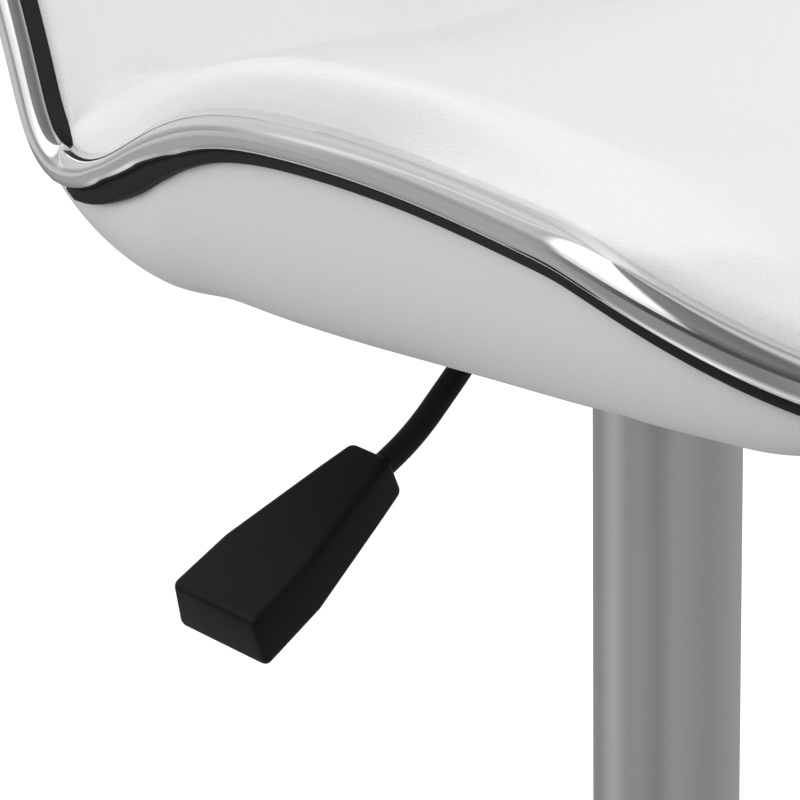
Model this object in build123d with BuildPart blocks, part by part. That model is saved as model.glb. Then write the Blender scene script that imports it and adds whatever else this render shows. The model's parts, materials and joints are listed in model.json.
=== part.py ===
from build123d import *
import os
from math import cos, hypot, radians, sin, sqrt

# Adjustable swivel stool: a gas-lift column on a domed disc base, with a footrest and a wave-shaped seat.
# Millimetres. +Z is up, -Y is the sitter's front, -X the sitter's right. The origin is on the column's
# axis at the floor. The seat is at its lowest position.

# Driving dimensions -------------------------------------------------------------------------------
BASE_R = 192.0
PLATE_T = 8.0
FOOT_T = 5.0
POST_R = 22.5
POST_WALL = 1.6
POST_TOP = 450.0
CYLINDER_R = 14.0
CYLINDER_BORE_R = 12.0
CYLINDER_BOTTOM = 80.0
CYLINDER_TOP = 530.0
BORE_TOP = 322.0
ROD_R = 5.0
ROD_TOP = 314.0
SLEEVE_R = 25.0
SLEEVE_WALL = 1.2
SLEEVE_BOTTOM = 240.0
SLEEVE_TOP = 515.0
RUNNING_FIT = 0.05
ROD_CLEARANCE = 0.4

SEAT_Z = 480.0
SEAT_HALF_WIDTH = 190.0
CORNER_START = 0.53
TRIM_R = 6.0
GASKET_R = 2.6
BOARD_HALF_T = 4.5
SOFT_GAP = 1.0

MOUNT_PLATE = (200.0, 160.0, 3.0)
MOUNT_PLATE_TOP = SEAT_Z + 74.0
BOLT_SPACING = (150.0, 120.0)
BOLT_R = 3.0
BOX = (76.0, 60.0, 30.0)
BOX_WALL = 2.5

LEVER_Z = SEAT_Z + 59.5
LEVER_R = 4.0
LEVER_YAW = 5.0
LEVER_PIVOT = 30.0
HANDLE_DROP = 25.0

FOOTREST_Z = 205.0
FOOTREST_R = 9.0
FOOTREST_HALF_WIDTH = 130.0
FOOTREST_REACH = 205.0

# The seat's wave in side view, from the front edge over the seat and up the back. Each row is
# y, z on the centre line and y, z on the side edge, above SEAT_Z.
WAVE = (
    ((-230.0, 88.0), (-141.0, 131.0)),
    ((-190.0, 92.0), (-95.0, 138.0)),
    ((-110.0, 94.0), (-40.0, 140.0)),
    ((0.0, 94.0), (20.0, 131.0)),
    ((85.0, 93.0), (62.0, 113.0)),
    ((138.0, 105.0), (80.0, 114.0)),
    ((166.0, 160.0), (92.0, 141.0)),
    ((188.0, 250.0), (112.0, 197.0)),
    ((205.0, 345.0), (134.0, 262.0)),
)
# How much of each row's y and z follows the rounded corner instead of the cross curve.
CORNER_Y = (1.0, 0.5, 0.2, 0.0, 0.0, 0.0, 0.0, 0.0, 0.0)
CORNER_Z = (1.0, 0.5, 0.2, 0.0, 0.0, 0.0, 0.2, 0.5, 1.0)
PAD_T = (10.0, 24.0, 29.0, 30.0, 30.0, 28.0, 28.0, 26.0, 10.0)
PAD_EDGE_T = 10.0
PAD_SIDE_RISE = 6.0
PAD_EDGE_POWER = 7
SHELL_T = (7.0, 9.0, 10.0, 10.0, 9.0, 18.0, 22.0, 22.0, 7.0)
SHELL_EDGE_T = (13.0, 27.0, 31.0, 26.0, 14.0, 9.0, 8.0, 8.0, 7.0)
SHELL_SIDE_DROP = 14.0
SHELL_SIDE_ROWS = (1, 2, 3)
SHELL_SIDE_POWER = 3
SHELL_TUCK_POWER = 16
CROSS_POWER = 2.4
STATIONS = (-1.0, -0.97, -0.9, -0.76, -0.5, 0.0, 0.5, 0.76, 0.9, 0.97, 1.0)

os.makedirs("parts", exist_ok=True)


def keep(builder, label):
    """Label a finished piece and write it."""
    builder.part.label = label
    export_step(builder.part, f"parts/{label}.step")


def tube(label, radius, bore, low, high):
    """Make a plain round tube on the column's axis and write it."""
    with BuildPart() as piece:
        with BuildSketch(Plane.XY.offset(low)):
            Circle(radius)
            Circle(bore, mode=Mode.SUBTRACT)
        extrude(amount=high - low)
    keep(piece, label)


# Base: cover, ballast plate, floor ring, post -----------------------------------------------------
COVER_WALL = 1.5
COVER_NECK_R = 24.5
COVER_NECK_Z = 74.0
COVER_LIP = 4.0
FLOOR_RING_INSET = 3.0
FLOOR_RING_W = 12.0
with BuildPart() as base_cover:
    with BuildSketch(Plane.XZ):
        with BuildLine():
            FilletPolyline(
                (BASE_R, COVER_LIP),
                (BASE_R, 15.0),
                (90.0, 33.0),
                (COVER_NECK_R, 46.0),
                (COVER_NECK_R, COVER_NECK_Z),
                radius=(8.0, 300.0, 20.0),
            )
            offset(amount=COVER_WALL, side=Side.LEFT)
        make_face()
    revolve(axis=Axis.Z)
keep(base_cover, "base_cover")

FLANGE_R = 52.0
FLANGE_T = 6.0
FLANGE_PCD_R = 38.0
FLANGE_TOP = FOOT_T + PLATE_T + FLANGE_T
PLATE_INSET = 10.0
PLATE_HOLE_R = 4.3
PLATE_EDGE_R = 1.5
FLANGE_HOLE_R = 3.4
BASE_BOLT_R = 3.3
BASE_BOLT_TIP = 2.0
HEAD_R = 6.5
HEAD_T = 3.5
UPRIGHT = (Align.CENTER, Align.CENTER, Align.MIN)
with BuildPart() as base_plate:
    with BuildSketch(Plane.XY.offset(FOOT_T)):
        Circle(BASE_R - PLATE_INSET)
        with PolarLocations(FLANGE_PCD_R, 4):
            Circle(PLATE_HOLE_R, mode=Mode.SUBTRACT)
    extrude(amount=PLATE_T)
    fillet(base_plate.edges().filter_by(GeomType.CIRCLE).sort_by(SortBy.RADIUS)[-1], PLATE_EDGE_R)
keep(base_plate, "base_plate")

RING_R = BASE_R - FLOOR_RING_INSET
tube("floor_ring", RING_R, RING_R - FLOOR_RING_W, 0.0, FOOT_T)

with BuildPart() as post_flange:
    with BuildSketch(Plane.XY.offset(FOOT_T + PLATE_T)):
        Circle(FLANGE_R)
        with PolarLocations(FLANGE_PCD_R, 4):
            Circle(FLANGE_HOLE_R, mode=Mode.SUBTRACT)
    extrude(amount=FLANGE_T)
keep(post_flange, "post_flange")

with BuildPart() as base_bolts:
    with PolarLocations(FLANGE_PCD_R, 4):
        with Locations((0, 0, FOOT_T - HEAD_T)):
            Cylinder(HEAD_R, HEAD_T, align=UPRIGHT)
            Cylinder(BASE_BOLT_R, FLANGE_TOP + BASE_BOLT_TIP, align=UPRIGHT)
keep(base_bolts, "base_bolts")

tube("column_post", POST_R, POST_R - POST_WALL, FLANGE_TOP, POST_TOP)
POST_BORE_R = POST_R - POST_WALL
END_PLATE_Z = 60.0
END_PLATE_T = 5.0
END_PLATE_TOP = END_PLATE_Z + END_PLATE_T
BUSH_LENGTH = 80.0
CAP_RING_LIP = 0.8
CAP_RING_T = 4.0
tube("post_end_plate", POST_BORE_R, ROD_R + ROD_CLEARANCE, END_PLATE_Z, END_PLATE_TOP)
tube("guide_bush", POST_BORE_R, CYLINDER_R + RUNNING_FIT, POST_TOP - BUSH_LENGTH, POST_TOP)
tube("post_cap_ring", POST_R + CAP_RING_LIP, CYLINDER_R + ROD_CLEARANCE, POST_TOP, POST_TOP + CAP_RING_T)

# Thrust bearing: a ring of balls between two races ------------------------------------------------
BEARING_T = 6.0
RACE_R = 13.0
RACE_T = 1.5
BALL_R = 1.45
BALL_RING_R = 10.0
BALL_COUNT = 12
UPPER_RACE_Z = END_PLATE_TOP + BEARING_T - RACE_T
tube("lower_race", RACE_R, ROD_R + ROD_CLEARANCE, END_PLATE_TOP, END_PLATE_TOP + RACE_T)
with BuildPart() as bearing_balls:
    with Locations((0, 0, END_PLATE_TOP + BEARING_T / 2)):
        with PolarLocations(BALL_RING_R, BALL_COUNT):
            Sphere(BALL_R)
keep(bearing_balls, "bearing_balls")
tube("upper_race", RACE_R, ROD_R, UPPER_RACE_Z, UPPER_RACE_Z + RACE_T)

# Piston rod: turns on the bearing, held by a clip below the end plate -----------------------------
CLIP_R = 9.0
CLIP_T = 1.6
CLIP_Z = END_PLATE_Z - CLIP_T - ROD_CLEARANCE
ROD_TAIL = 4.0
ROD_CHAMFER = 0.8
PISTON_LENGTH = 12.0
with BuildPart() as piston_rod:
    with BuildSketch(Plane.XY.offset(CLIP_Z - ROD_TAIL)):
        Circle(ROD_R)
    extrude(amount=ROD_TOP - CLIP_Z + ROD_TAIL)
    chamfer(piston_rod.edges().sort_by(Axis.Z)[0], ROD_CHAMFER)
keep(piston_rod, "piston_rod")
tube("rod_clip", CLIP_R, ROD_R, CLIP_Z, CLIP_Z + CLIP_T)
tube("piston", CYLINDER_BORE_R - RUNNING_FIT, ROD_R, ROD_TOP - PISTON_LENGTH, ROD_TOP)

# Footrest: a bent bar on a clamped collar ---------------------------------------------------------
COLLAR_R = 30.0
COLLAR_H = 36.0
LUG = (18.0, 26.0)
LUG_Y = COLLAR_R + 4.0
LUG_SPLIT = 3.0
CLAMP_Y = COLLAR_R + 10.0
CLAMP_HEIGHTS = (FOOTREST_Z - 9.0, FOOTREST_Z + 9.0)
CLAMP_HOLE_R = 2.7
CLAMP_SCREW_R = 2.5
CLAMP_HEAD_R = 4.5
CLAMP_HEAD_T = 4.0
SIDEWAYS = (0, 90, 0)
with BuildPart() as footrest_collar:
    with BuildSketch(Plane.XY.offset(FOOTREST_Z - COLLAR_H / 2)):
        Circle(COLLAR_R)
        with Locations((0, LUG_Y)):
            Rectangle(LUG[0], LUG[1])
        Circle(POST_R, mode=Mode.SUBTRACT)
        with Locations((0, LUG_Y)):
            Rectangle(LUG_SPLIT, LUG[1] + 8.0, mode=Mode.SUBTRACT)
    extrude(amount=COLLAR_H)
    with Locations([(0, CLAMP_Y, height) for height in CLAMP_HEIGHTS]):
        Cylinder(CLAMP_HOLE_R, LUG[0] + CLAMP_HEAD_T, rotation=SIDEWAYS, mode=Mode.SUBTRACT)
keep(footrest_collar, "footrest_collar")

with BuildPart() as clamp_screws:
    for height in CLAMP_HEIGHTS:
        with Locations((LUG[0] / 2, CLAMP_Y, height)):
            Cylinder(CLAMP_HEAD_R, CLAMP_HEAD_T, rotation=SIDEWAYS, align=UPRIGHT)
        with Locations((-LUG[0] / 2 - CLAMP_HEAD_T, CLAMP_Y, height)):
            Cylinder(CLAMP_SCREW_R, LUG[0] + 1.5 * CLAMP_HEAD_T, rotation=SIDEWAYS, align=UPRIGHT)
            Cylinder(CLAMP_HEAD_R, CLAMP_HEAD_T, rotation=SIDEWAYS, align=UPRIGHT)
keep(clamp_screws, "clamp_screws")

BAR_START = (COLLAR_R - 1.0, -8.0)
BAR_SHOULDER_Y = -52.0
BAR_BEND_R = 46.0
BAR_WALL = 1.5
BAR_HEADING = (FOOTREST_HALF_WIDTH - BAR_START[0], BAR_SHOULDER_Y - BAR_START[1], 0.0)
with BuildPart() as footrest_bar:
    with BuildLine():
        FilletPolyline(
            (BAR_START[0], BAR_START[1], FOOTREST_Z),
            (FOOTREST_HALF_WIDTH, BAR_SHOULDER_Y, FOOTREST_Z),
            (FOOTREST_HALF_WIDTH, -FOOTREST_REACH, FOOTREST_Z),
            (-FOOTREST_HALF_WIDTH, -FOOTREST_REACH, FOOTREST_Z),
            (-FOOTREST_HALF_WIDTH, BAR_SHOULDER_Y, FOOTREST_Z),
            (-BAR_START[0], BAR_START[1], FOOTREST_Z),
            radius=BAR_BEND_R,
        )
    with BuildSketch(Plane((BAR_START[0], BAR_START[1], FOOTREST_Z), z_dir=BAR_HEADING)):
        Circle(FOOTREST_R)
        Circle(FOOTREST_R - BAR_WALL, mode=Mode.SUBTRACT)
    sweep()
    with Locations((0, 0, FOOTREST_Z)):
        Cylinder(COLLAR_R + RUNNING_FIT, COLLAR_H, mode=Mode.SUBTRACT)
keep(footrest_bar, "footrest_bar")

# Gas spring cylinder, its gland, socket and sleeve ------------------------------------------------
VALVE_R = 3.5
VALVE_BOTTOM = CYLINDER_TOP - 15.0
VALVE_GAP = 0.8
VALVE_TOP = LEVER_Z - LEVER_R - VALVE_GAP
VALVE_BORE_R = VALVE_R + 0.1
VALVE_BORE_BOTTOM = VALVE_BOTTOM - 6.0
VALVE_EDGE_R = 1.0
GLAND_T = 14.0
NECK_T = 3.0
NECK_TAPER = 2.0
with BuildPart() as gas_cylinder:
    with BuildSketch(Plane.XZ):
        with BuildLine():
            Polyline(
                (CYLINDER_R, CYLINDER_BOTTOM),
                (CYLINDER_R, CYLINDER_TOP - NECK_T),
                (CYLINDER_R - NECK_TAPER, CYLINDER_TOP),
                (VALVE_BORE_R, CYLINDER_TOP),
                (VALVE_BORE_R, VALVE_BORE_BOTTOM),
                (0.0, VALVE_BORE_BOTTOM),
                (0.0, BORE_TOP),
                (CYLINDER_BORE_R, BORE_TOP),
                (CYLINDER_BORE_R, CYLINDER_BOTTOM),
                close=True,
            )
        make_face()
    revolve(axis=Axis.Z)
keep(gas_cylinder, "gas_cylinder")
tube("cylinder_gland", CYLINDER_BORE_R, ROD_R + RUNNING_FIT, CYLINDER_BOTTOM, CYLINDER_BOTTOM + GLAND_T)

with BuildPart() as valve_button:
    with BuildSketch(Plane.XY.offset(VALVE_BOTTOM)):
        Circle(VALVE_R)
    extrude(amount=VALVE_TOP - VALVE_BOTTOM)
    fillet(valve_button.edges().sort_by(Axis.Z)[-1], VALVE_EDGE_R)
keep(valve_button, "valve_button")

BOX_TOP = MOUNT_PLATE_TOP - MOUNT_PLATE[2]
BOX_BOTTOM = BOX_TOP - BOX[2]
SOCKET_R = 19.0
SOCKET_TAPER = 2.0
SOCKET_BOTTOM = CYLINDER_TOP - 52.0
SOCKET_FIT = 0.1
CAP_GAP = 2.0
with BuildPart() as taper_socket:
    with BuildSketch(Plane.XZ):
        with BuildLine():
            Polyline(
                (CYLINDER_R, SOCKET_BOTTOM),
                (SOCKET_R - SOCKET_TAPER, SOCKET_BOTTOM),
                (SOCKET_R, BOX_BOTTOM + BOX_WALL),
                (CYLINDER_R, BOX_BOTTOM + BOX_WALL),
                close=True,
            )
        make_face()
    revolve(axis=Axis.Z)
keep(taper_socket, "taper_socket")

tube("cover_sleeve", SLEEVE_R, SLEEVE_R - SLEEVE_WALL, SLEEVE_BOTTOM, SLEEVE_TOP)
tube("sleeve_cap", SLEEVE_R, SOCKET_R + 2 * SOCKET_FIT, SLEEVE_TOP, BOX_BOTTOM - CAP_GAP)

# Seat plate and lever box -------------------------------------------------------------------------
PLATE_CORNER_R = 14.0
BOLT_CLEARANCE = 0.3
with BuildPart() as mount_plate:
    with BuildSketch(Plane.XY.offset(BOX_TOP)):
        RectangleRounded(MOUNT_PLATE[0], MOUNT_PLATE[1], PLATE_CORNER_R)
        with GridLocations(BOLT_SPACING[0], BOLT_SPACING[1], 2, 2):
            Circle(BOLT_R + BOLT_CLEARANCE, mode=Mode.SUBTRACT)
    extrude(amount=MOUNT_PLATE[2])
keep(mount_plate, "mount_plate")

LEVER_DIRECTION = (-cos(radians(LEVER_YAW)), -sin(radians(LEVER_YAW)), 0.0)
LEVER_HOLE = Plane((0, 0, LEVER_Z), z_dir=LEVER_DIRECTION)
PIN_CENTRE = (LEVER_DIRECTION[0] * LEVER_PIVOT, LEVER_DIRECTION[1] * LEVER_PIVOT, LEVER_Z)
PIN_PLANE = Plane(PIN_CENTRE, z_dir=(-LEVER_DIRECTION[1], LEVER_DIRECTION[0], 0.0))
PIN_R = 2.0
PIN_END = 2.0
BOX_CORNER_R = 5.0
LEVER_SLOT = (6.0, 2 * LEVER_R + 3.0)
with BuildPart() as lever_box:
    with BuildSketch(Plane.XY.offset(BOX_BOTTOM)):
        RectangleRounded(BOX[0], BOX[1], BOX_CORNER_R)
    extrude(amount=BOX[2])
    with BuildSketch(Plane.XY.offset(BOX_BOTTOM + BOX_WALL)):
        RectangleRounded(BOX[0] - 2 * BOX_WALL, BOX[1] - 2 * BOX_WALL, BOX_CORNER_R - BOX_WALL)
    extrude(amount=BOX[2], mode=Mode.SUBTRACT)
    with BuildSketch(Plane.XY.offset(BOX_BOTTOM)):
        Circle(SOCKET_R + SOCKET_FIT)
    extrude(amount=BOX_WALL, mode=Mode.SUBTRACT)
    with BuildSketch(LEVER_HOLE):
        SlotCenterToCenter(LEVER_SLOT[0], LEVER_SLOT[1], rotation=90)
    extrude(amount=BOX[0], mode=Mode.SUBTRACT)
    with BuildSketch(PIN_PLANE):
        Circle(PIN_R)
    extrude(amount=BOX[1], both=True, mode=Mode.SUBTRACT)
keep(lever_box, "lever_box")

with BuildPart() as pivot_pin:
    with BuildSketch(PIN_PLANE):
        Circle(PIN_R)
    extrude(amount=BOX[1] / 2 + PIN_END, both=True)
keep(pivot_pin, "pivot_pin")

PLATE_BOLT_HEAD_R = 5.0
PLATE_BOLT_HEAD_T = 4.0
PLATE_BOLT_LENGTH = 32.0
WASHER_R = 7.0
WASHER_T = 1.5
with BuildPart() as plate_bolts:
    with GridLocations(BOLT_SPACING[0], BOLT_SPACING[1], 2, 2):
        with Locations((0, 0, BOX_TOP - WASHER_T - PLATE_BOLT_HEAD_T)):
            Cylinder(PLATE_BOLT_HEAD_R, PLATE_BOLT_HEAD_T, align=UPRIGHT)
            Cylinder(BOLT_R, PLATE_BOLT_LENGTH, align=UPRIGHT)
keep(plate_bolts, "plate_bolts")

with BuildPart() as plate_washers:
    with BuildSketch(Plane.XY.offset(BOX_TOP - WASHER_T)):
        with GridLocations(BOLT_SPACING[0], BOLT_SPACING[1], 2, 2):
            Circle(WASHER_R)
            Circle(BOLT_R + BOLT_CLEARANCE, mode=Mode.SUBTRACT)
    extrude(amount=WASHER_T)
keep(plate_washers, "plate_washers")

TEE_TOP = SEAT_Z + 104.0
TEE_LENGTH = 9.0
TEE_BARREL_R = BOLT_R + 1.6
TEE_FLANGE_R = 9.0
TEE_FLANGE_T = 1.2
with BuildPart() as tee_nuts:
    with BuildSketch(Plane.XY.offset(TEE_TOP - TEE_LENGTH)):
        with GridLocations(BOLT_SPACING[0], BOLT_SPACING[1], 2, 2):
            Circle(TEE_BARREL_R)
    extrude(amount=TEE_LENGTH)
    with BuildSketch(Plane.XY.offset(TEE_TOP - TEE_FLANGE_T)):
        with GridLocations(BOLT_SPACING[0], BOLT_SPACING[1], 2, 2):
            Circle(TEE_FLANGE_R)
    extrude(amount=TEE_FLANGE_T)
    with BuildSketch(Plane.XY.offset(TEE_TOP - TEE_LENGTH)):
        with GridLocations(BOLT_SPACING[0], BOLT_SPACING[1], 2, 2):
            Circle(BOLT_R + RUNNING_FIT)
    extrude(amount=TEE_LENGTH, mode=Mode.SUBTRACT)
keep(tee_nuts, "tee_nuts")


# Lever: a cranked rod with a tapered paddle -------------------------------------------------------
def lever_point(outward, height):
    """A point of the lever's plane, at a distance out from the column and a height above SEAT_Z."""
    return (LEVER_DIRECTION[0] * outward, LEVER_DIRECTION[1] * outward, SEAT_Z + height)


LEVER_HEIGHT = LEVER_Z - SEAT_Z
ROD_INNER_END = -1.0
ROD_STRAIGHT = 86.0
ROD_BEND_R = 16.0
ROD_LEAD = 20.0
ROD_GRIP = 24.0
HANDLE_ROOT = (137.0, 26.4)
HANDLE_SLOPE = radians(HANDLE_DROP)
ROD_TIP = (HANDLE_ROOT[0] + ROD_GRIP * cos(HANDLE_SLOPE), HANDLE_ROOT[1] - ROD_GRIP * sin(HANDLE_SLOPE))
ROD_BEND = (HANDLE_ROOT[0] - ROD_LEAD * cos(HANDLE_SLOPE), HANDLE_ROOT[1] + ROD_LEAD * sin(HANDLE_SLOPE))
with BuildPart() as lever_rod:
    with BuildLine():
        FilletPolyline(
            lever_point(ROD_INNER_END, LEVER_HEIGHT),
            lever_point(ROD_STRAIGHT, LEVER_HEIGHT),
            lever_point(*ROD_BEND),
            lever_point(*ROD_TIP),
            radius=ROD_BEND_R,
        )
    with BuildSketch(Plane(lever_point(ROD_INNER_END, LEVER_HEIGHT), z_dir=LEVER_DIRECTION)):
        Circle(LEVER_R)
    sweep()
    with BuildSketch(PIN_PLANE):
        Circle(PIN_R + RUNNING_FIT)
    extrude(amount=2 * LEVER_R, both=True, mode=Mode.SUBTRACT)
keep(lever_rod, "lever_rod")

HANDLE_START = 4.0
HANDLE_NECK = (16.0, 8.5)
HANDLE_WIDEST = (52.0, 17.5)
HANDLE_END = (80.0, 16.5)
HANDLE_T = 15.5
HANDLE_EDGE_R = 2.0
HANDLE_AXIS = Vector(*LEVER_DIRECTION) * cos(HANDLE_SLOPE) - Vector(0, 0, sin(HANDLE_SLOPE))
HANDLE_SIDE = Vector(-LEVER_DIRECTION[1], LEVER_DIRECTION[0], 0.0)
HANDLE_PLANE = Plane(lever_point(*HANDLE_ROOT), x_dir=HANDLE_AXIS, z_dir=HANDLE_AXIS.cross(HANDLE_SIDE))
with BuildPart() as lever_handle:
    with BuildSketch(HANDLE_PLANE.offset(-HANDLE_T / 2)):
        with BuildLine():
            Polyline(
                (HANDLE_START, -HANDLE_NECK[1]),
                (HANDLE_NECK[0], -HANDLE_NECK[1]),
                (HANDLE_WIDEST[0], -HANDLE_WIDEST[1]),
                (HANDLE_END[0], -HANDLE_END[1]),
                HANDLE_END,
                HANDLE_WIDEST,
                HANDLE_NECK,
                (HANDLE_START, HANDLE_NECK[1]),
                close=True,
            )
        make_face()
    extrude(amount=HANDLE_T)
    fillet(lever_handle.edges(), HANDLE_EDGE_R)
    with BuildSketch(Plane(lever_point(*HANDLE_ROOT), z_dir=HANDLE_AXIS)):
        Circle(LEVER_R + RUNNING_FIT)
    extrude(amount=ROD_GRIP + RUNNING_FIT, mode=Mode.SUBTRACT)
keep(lever_handle, "lever_handle")


# Seat: the wave's layers are lofted across the width ----------------------------------------------
def corner(station):
    """How far the rounded corner has turned at a station across the width, from 0 to 1."""
    along = max(0.0, (abs(station) - CORNER_START) / (1.0 - CORNER_START))
    return 1.0 - sqrt(max(0.0, 1.0 - along**2))


def wave_points(station):
    """The board's middle line at a station across the width, as y, z points."""
    turned = corner(station)
    across = abs(station) ** CROSS_POWER
    points = []
    for (centre, side), corner_y, corner_z in zip(WAVE, CORNER_Y, CORNER_Z):
        mix_y = corner_y * turned + (1.0 - corner_y) * across
        mix_z = corner_z * turned + (1.0 - corner_z) * across
        y = centre[0] + (side[0] - centre[0]) * mix_y
        z = SEAT_Z + centre[1] + (side[1] - centre[1]) * mix_z
        points.append((y, z))
    return points


def raised(points, heights):
    """Points moved square to their line by the given heights, up from the seat and forward from the back."""
    moved = []
    for index, (y, z) in enumerate(points):
        before = points[max(0, index - 1)]
        after = points[min(len(points) - 1, index + 1)]
        run = hypot(after[0] - before[0], after[1] - before[1])
        normal = (-(after[1] - before[1]) / run, (after[0] - before[0]) / run)
        moved.append((y + normal[0] * heights[index], z + normal[1] * heights[index]))
    return moved


def drawn_in(points, inset):
    """The same line with its two ends drawn in."""
    ends = []
    for end, inner in ((points[0], points[1]), (points[-1], points[-2])):
        share = inset / hypot(inner[0] - end[0], inner[1] - end[1])
        ends.append((end[0] + (inner[0] - end[0]) * share, end[1] + (inner[1] - end[1]) * share))
    return [ends[0]] + points[1:-1] + [ends[1]]


def layer(inset, low, high):
    """Loft a layer of the seat, drawn in from the rim, between two heights above the board's middle."""
    width = SEAT_HALF_WIDTH - inset
    with BuildPart() as piece:
        for share in STATIONS:
            station = share * width / SEAT_HALF_WIDTH
            points = drawn_in(wave_points(station), inset)
            upper = raised(points, high(station))
            lower = raised(points, low(station))
            with BuildSketch(Plane.YZ.offset(share * width)):
                with BuildLine():
                    top = Spline(*upper)
                    under = Spline(*lower)
                    Line(top @ 0, under @ 0)
                    Line(top @ 1, under @ 1)
                make_face()
        loft()
    return piece


DRILL_DEPTH = 80.0


def drilled(blank, radius):
    """The same layer with a hole for each bolt of the mount plate."""
    with BuildPart() as piece:
        add(blank.part)
        with BuildSketch(Plane.XY.offset(BOX_TOP)):
            with GridLocations(BOLT_SPACING[0], BOLT_SPACING[1], 2, 2):
                Circle(radius)
        extrude(amount=DRILL_DEPTH, mode=Mode.SUBTRACT)
    return piece


def pad_top(station):
    """The cushion's upper side: full across the middle, thin at the edge."""
    fullness = 1.0 - abs(station) ** PAD_EDGE_POWER
    rise = PAD_SIDE_RISE * station**2 - PAD_EDGE_T
    return [PAD_EDGE_T + (thick + rise) * fullness for thick in PAD_T]


def pad_bottom(station):
    """The cushion's underside, just above the board."""
    return [BOARD_HALF_T + SOFT_GAP] * len(WAVE)


def shell_top(station):
    """The lower shell's upper side, just below the board."""
    return [-height for height in pad_bottom(station)]


def shell_bottom(station):
    """The lower shell's underside: a shallow tub under the seat that thins out up the back."""
    side = abs(station) ** SHELL_SIDE_POWER
    depths = []
    for index, (middle, edge) in enumerate(zip(SHELL_T, SHELL_EDGE_T)):
        drop = SHELL_SIDE_DROP * (index in SHELL_SIDE_ROWS)
        full = middle + (edge + drop - middle) * side
        tuck = drop * abs(station) ** SHELL_TUCK_POWER
        depths.append(-(full + BOARD_HALF_T - tuck))
    return depths


RIM_INSET = 2.0
seat_cushion = layer(RIM_INSET, pad_bottom, pad_top)
keep(seat_cushion, "seat_cushion")

SHELL_HOLE_R = BOLT_R + 2.0
lower_shell = drilled(layer(RIM_INSET, shell_bottom, shell_top), SHELL_HOLE_R)
keep(lower_shell, "lower_shell")

BOARD_INSET = 12.0
board_blank = layer(
    BOARD_INSET,
    lambda station: [-BOARD_HALF_T] * len(WAVE),
    lambda station: [BOARD_HALF_T] * len(WAVE),
)
plywood_board = drilled(board_blank, TEE_BARREL_R)
keep(plywood_board, "plywood_board")


# Edge trim and its gaskets run round the seat's rim -----------------------------------------------
# Corner points of the rim's right half, from the front corner to the middle of the top, with the
# radius of the bend at each: share of the half width, y, z above SEAT_Z, radius.
RIM = (
    (1.0, -230.0, 88.0, 82.0),
    (1.0, -135.0, 134.0, 100.0),
    (1.0, -42.0, 142.5, 120.0),
    (1.0, 26.0, 132.0, 90.0),
    (1.0, 72.0, 105.0, 12.0),
    (1.0, 98.0, 156.0, 200.0),
    (1.0, 150.0, 345.0, 76.0),
    (0.53, 189.0, 345.0, 150.0),
)
RIM_BACK_MIDDLE = (0.0, 206.0, 345.0, 250.0)
TOP_NORMAL = (-0.95, 0.3)
TRIM_OUT = 3.0
GASKET_OUT = -0.5
GASKET_RISE = 7.0


def rim_corners(outward, rise):
    """The rim's corner points, moved outward, and square to the board by a rise."""
    half = SEAT_HALF_WIDTH + outward
    side = raised([(y, z) for share, y, z, bend in RIM[:6]], [rise] * 6)
    top = [(y + TOP_NORMAL[0] * rise, z + TOP_NORMAL[1] * rise) for share, y, z, bend in RIM[6:]]
    corners = []
    for (share, *rest), (y, z) in zip(RIM, side + top):
        front = outward if share == 1.0 and y < -200.0 else 0.0
        above = outward if z > 300.0 else 0.0
        corners.append(Vector(half * share, y - front, SEAT_Z + z + above))
    middle = Vector(0.0, RIM_BACK_MIDDLE[1] + TOP_NORMAL[0] * rise, corners[-1].Z)
    mirrored = [Vector(-corner.X, corner.Y, corner.Z) for corner in reversed(corners)]
    return corners + [middle] + mirrored


def rim_sweep(outward, rise, radius):
    """Sweep a round section along the rim."""
    bends = [bend for share, y, z, bend in RIM]
    with BuildPart() as piece:
        with BuildLine():
            path = FilletPolyline(
                *rim_corners(outward, rise),
                radius=bends + [RIM_BACK_MIDDLE[3]] + bends[::-1],
                close=True,
            )
        with BuildSketch(Plane(path @ 0, z_dir=path % 0)):
            Circle(radius)
        sweep()
    return piece


edge_trim = rim_sweep(TRIM_OUT, 0.0, TRIM_R)
keep(edge_trim, "edge_trim")
for name, rise in (("upper_gasket", GASKET_RISE), ("lower_gasket", -GASKET_RISE)):
    keep(rim_sweep(GASKET_OUT, rise, GASKET_R), name)
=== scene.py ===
"""Looks of the adjustable swivel stool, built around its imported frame.

Lengths inside this file are in millimetres, in the frame's own axes: +Z up, -Y the sitter's front and
-X the sitter's right. Meshes are turned into metres when they are made.
"""

import json
import logging
import math
from dataclasses import dataclass, field
from enum import Enum
from typing import Callable, Iterable, Sequence

import bmesh
import bpy
import numpy as np
from mathutils import Matrix, Vector


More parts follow.
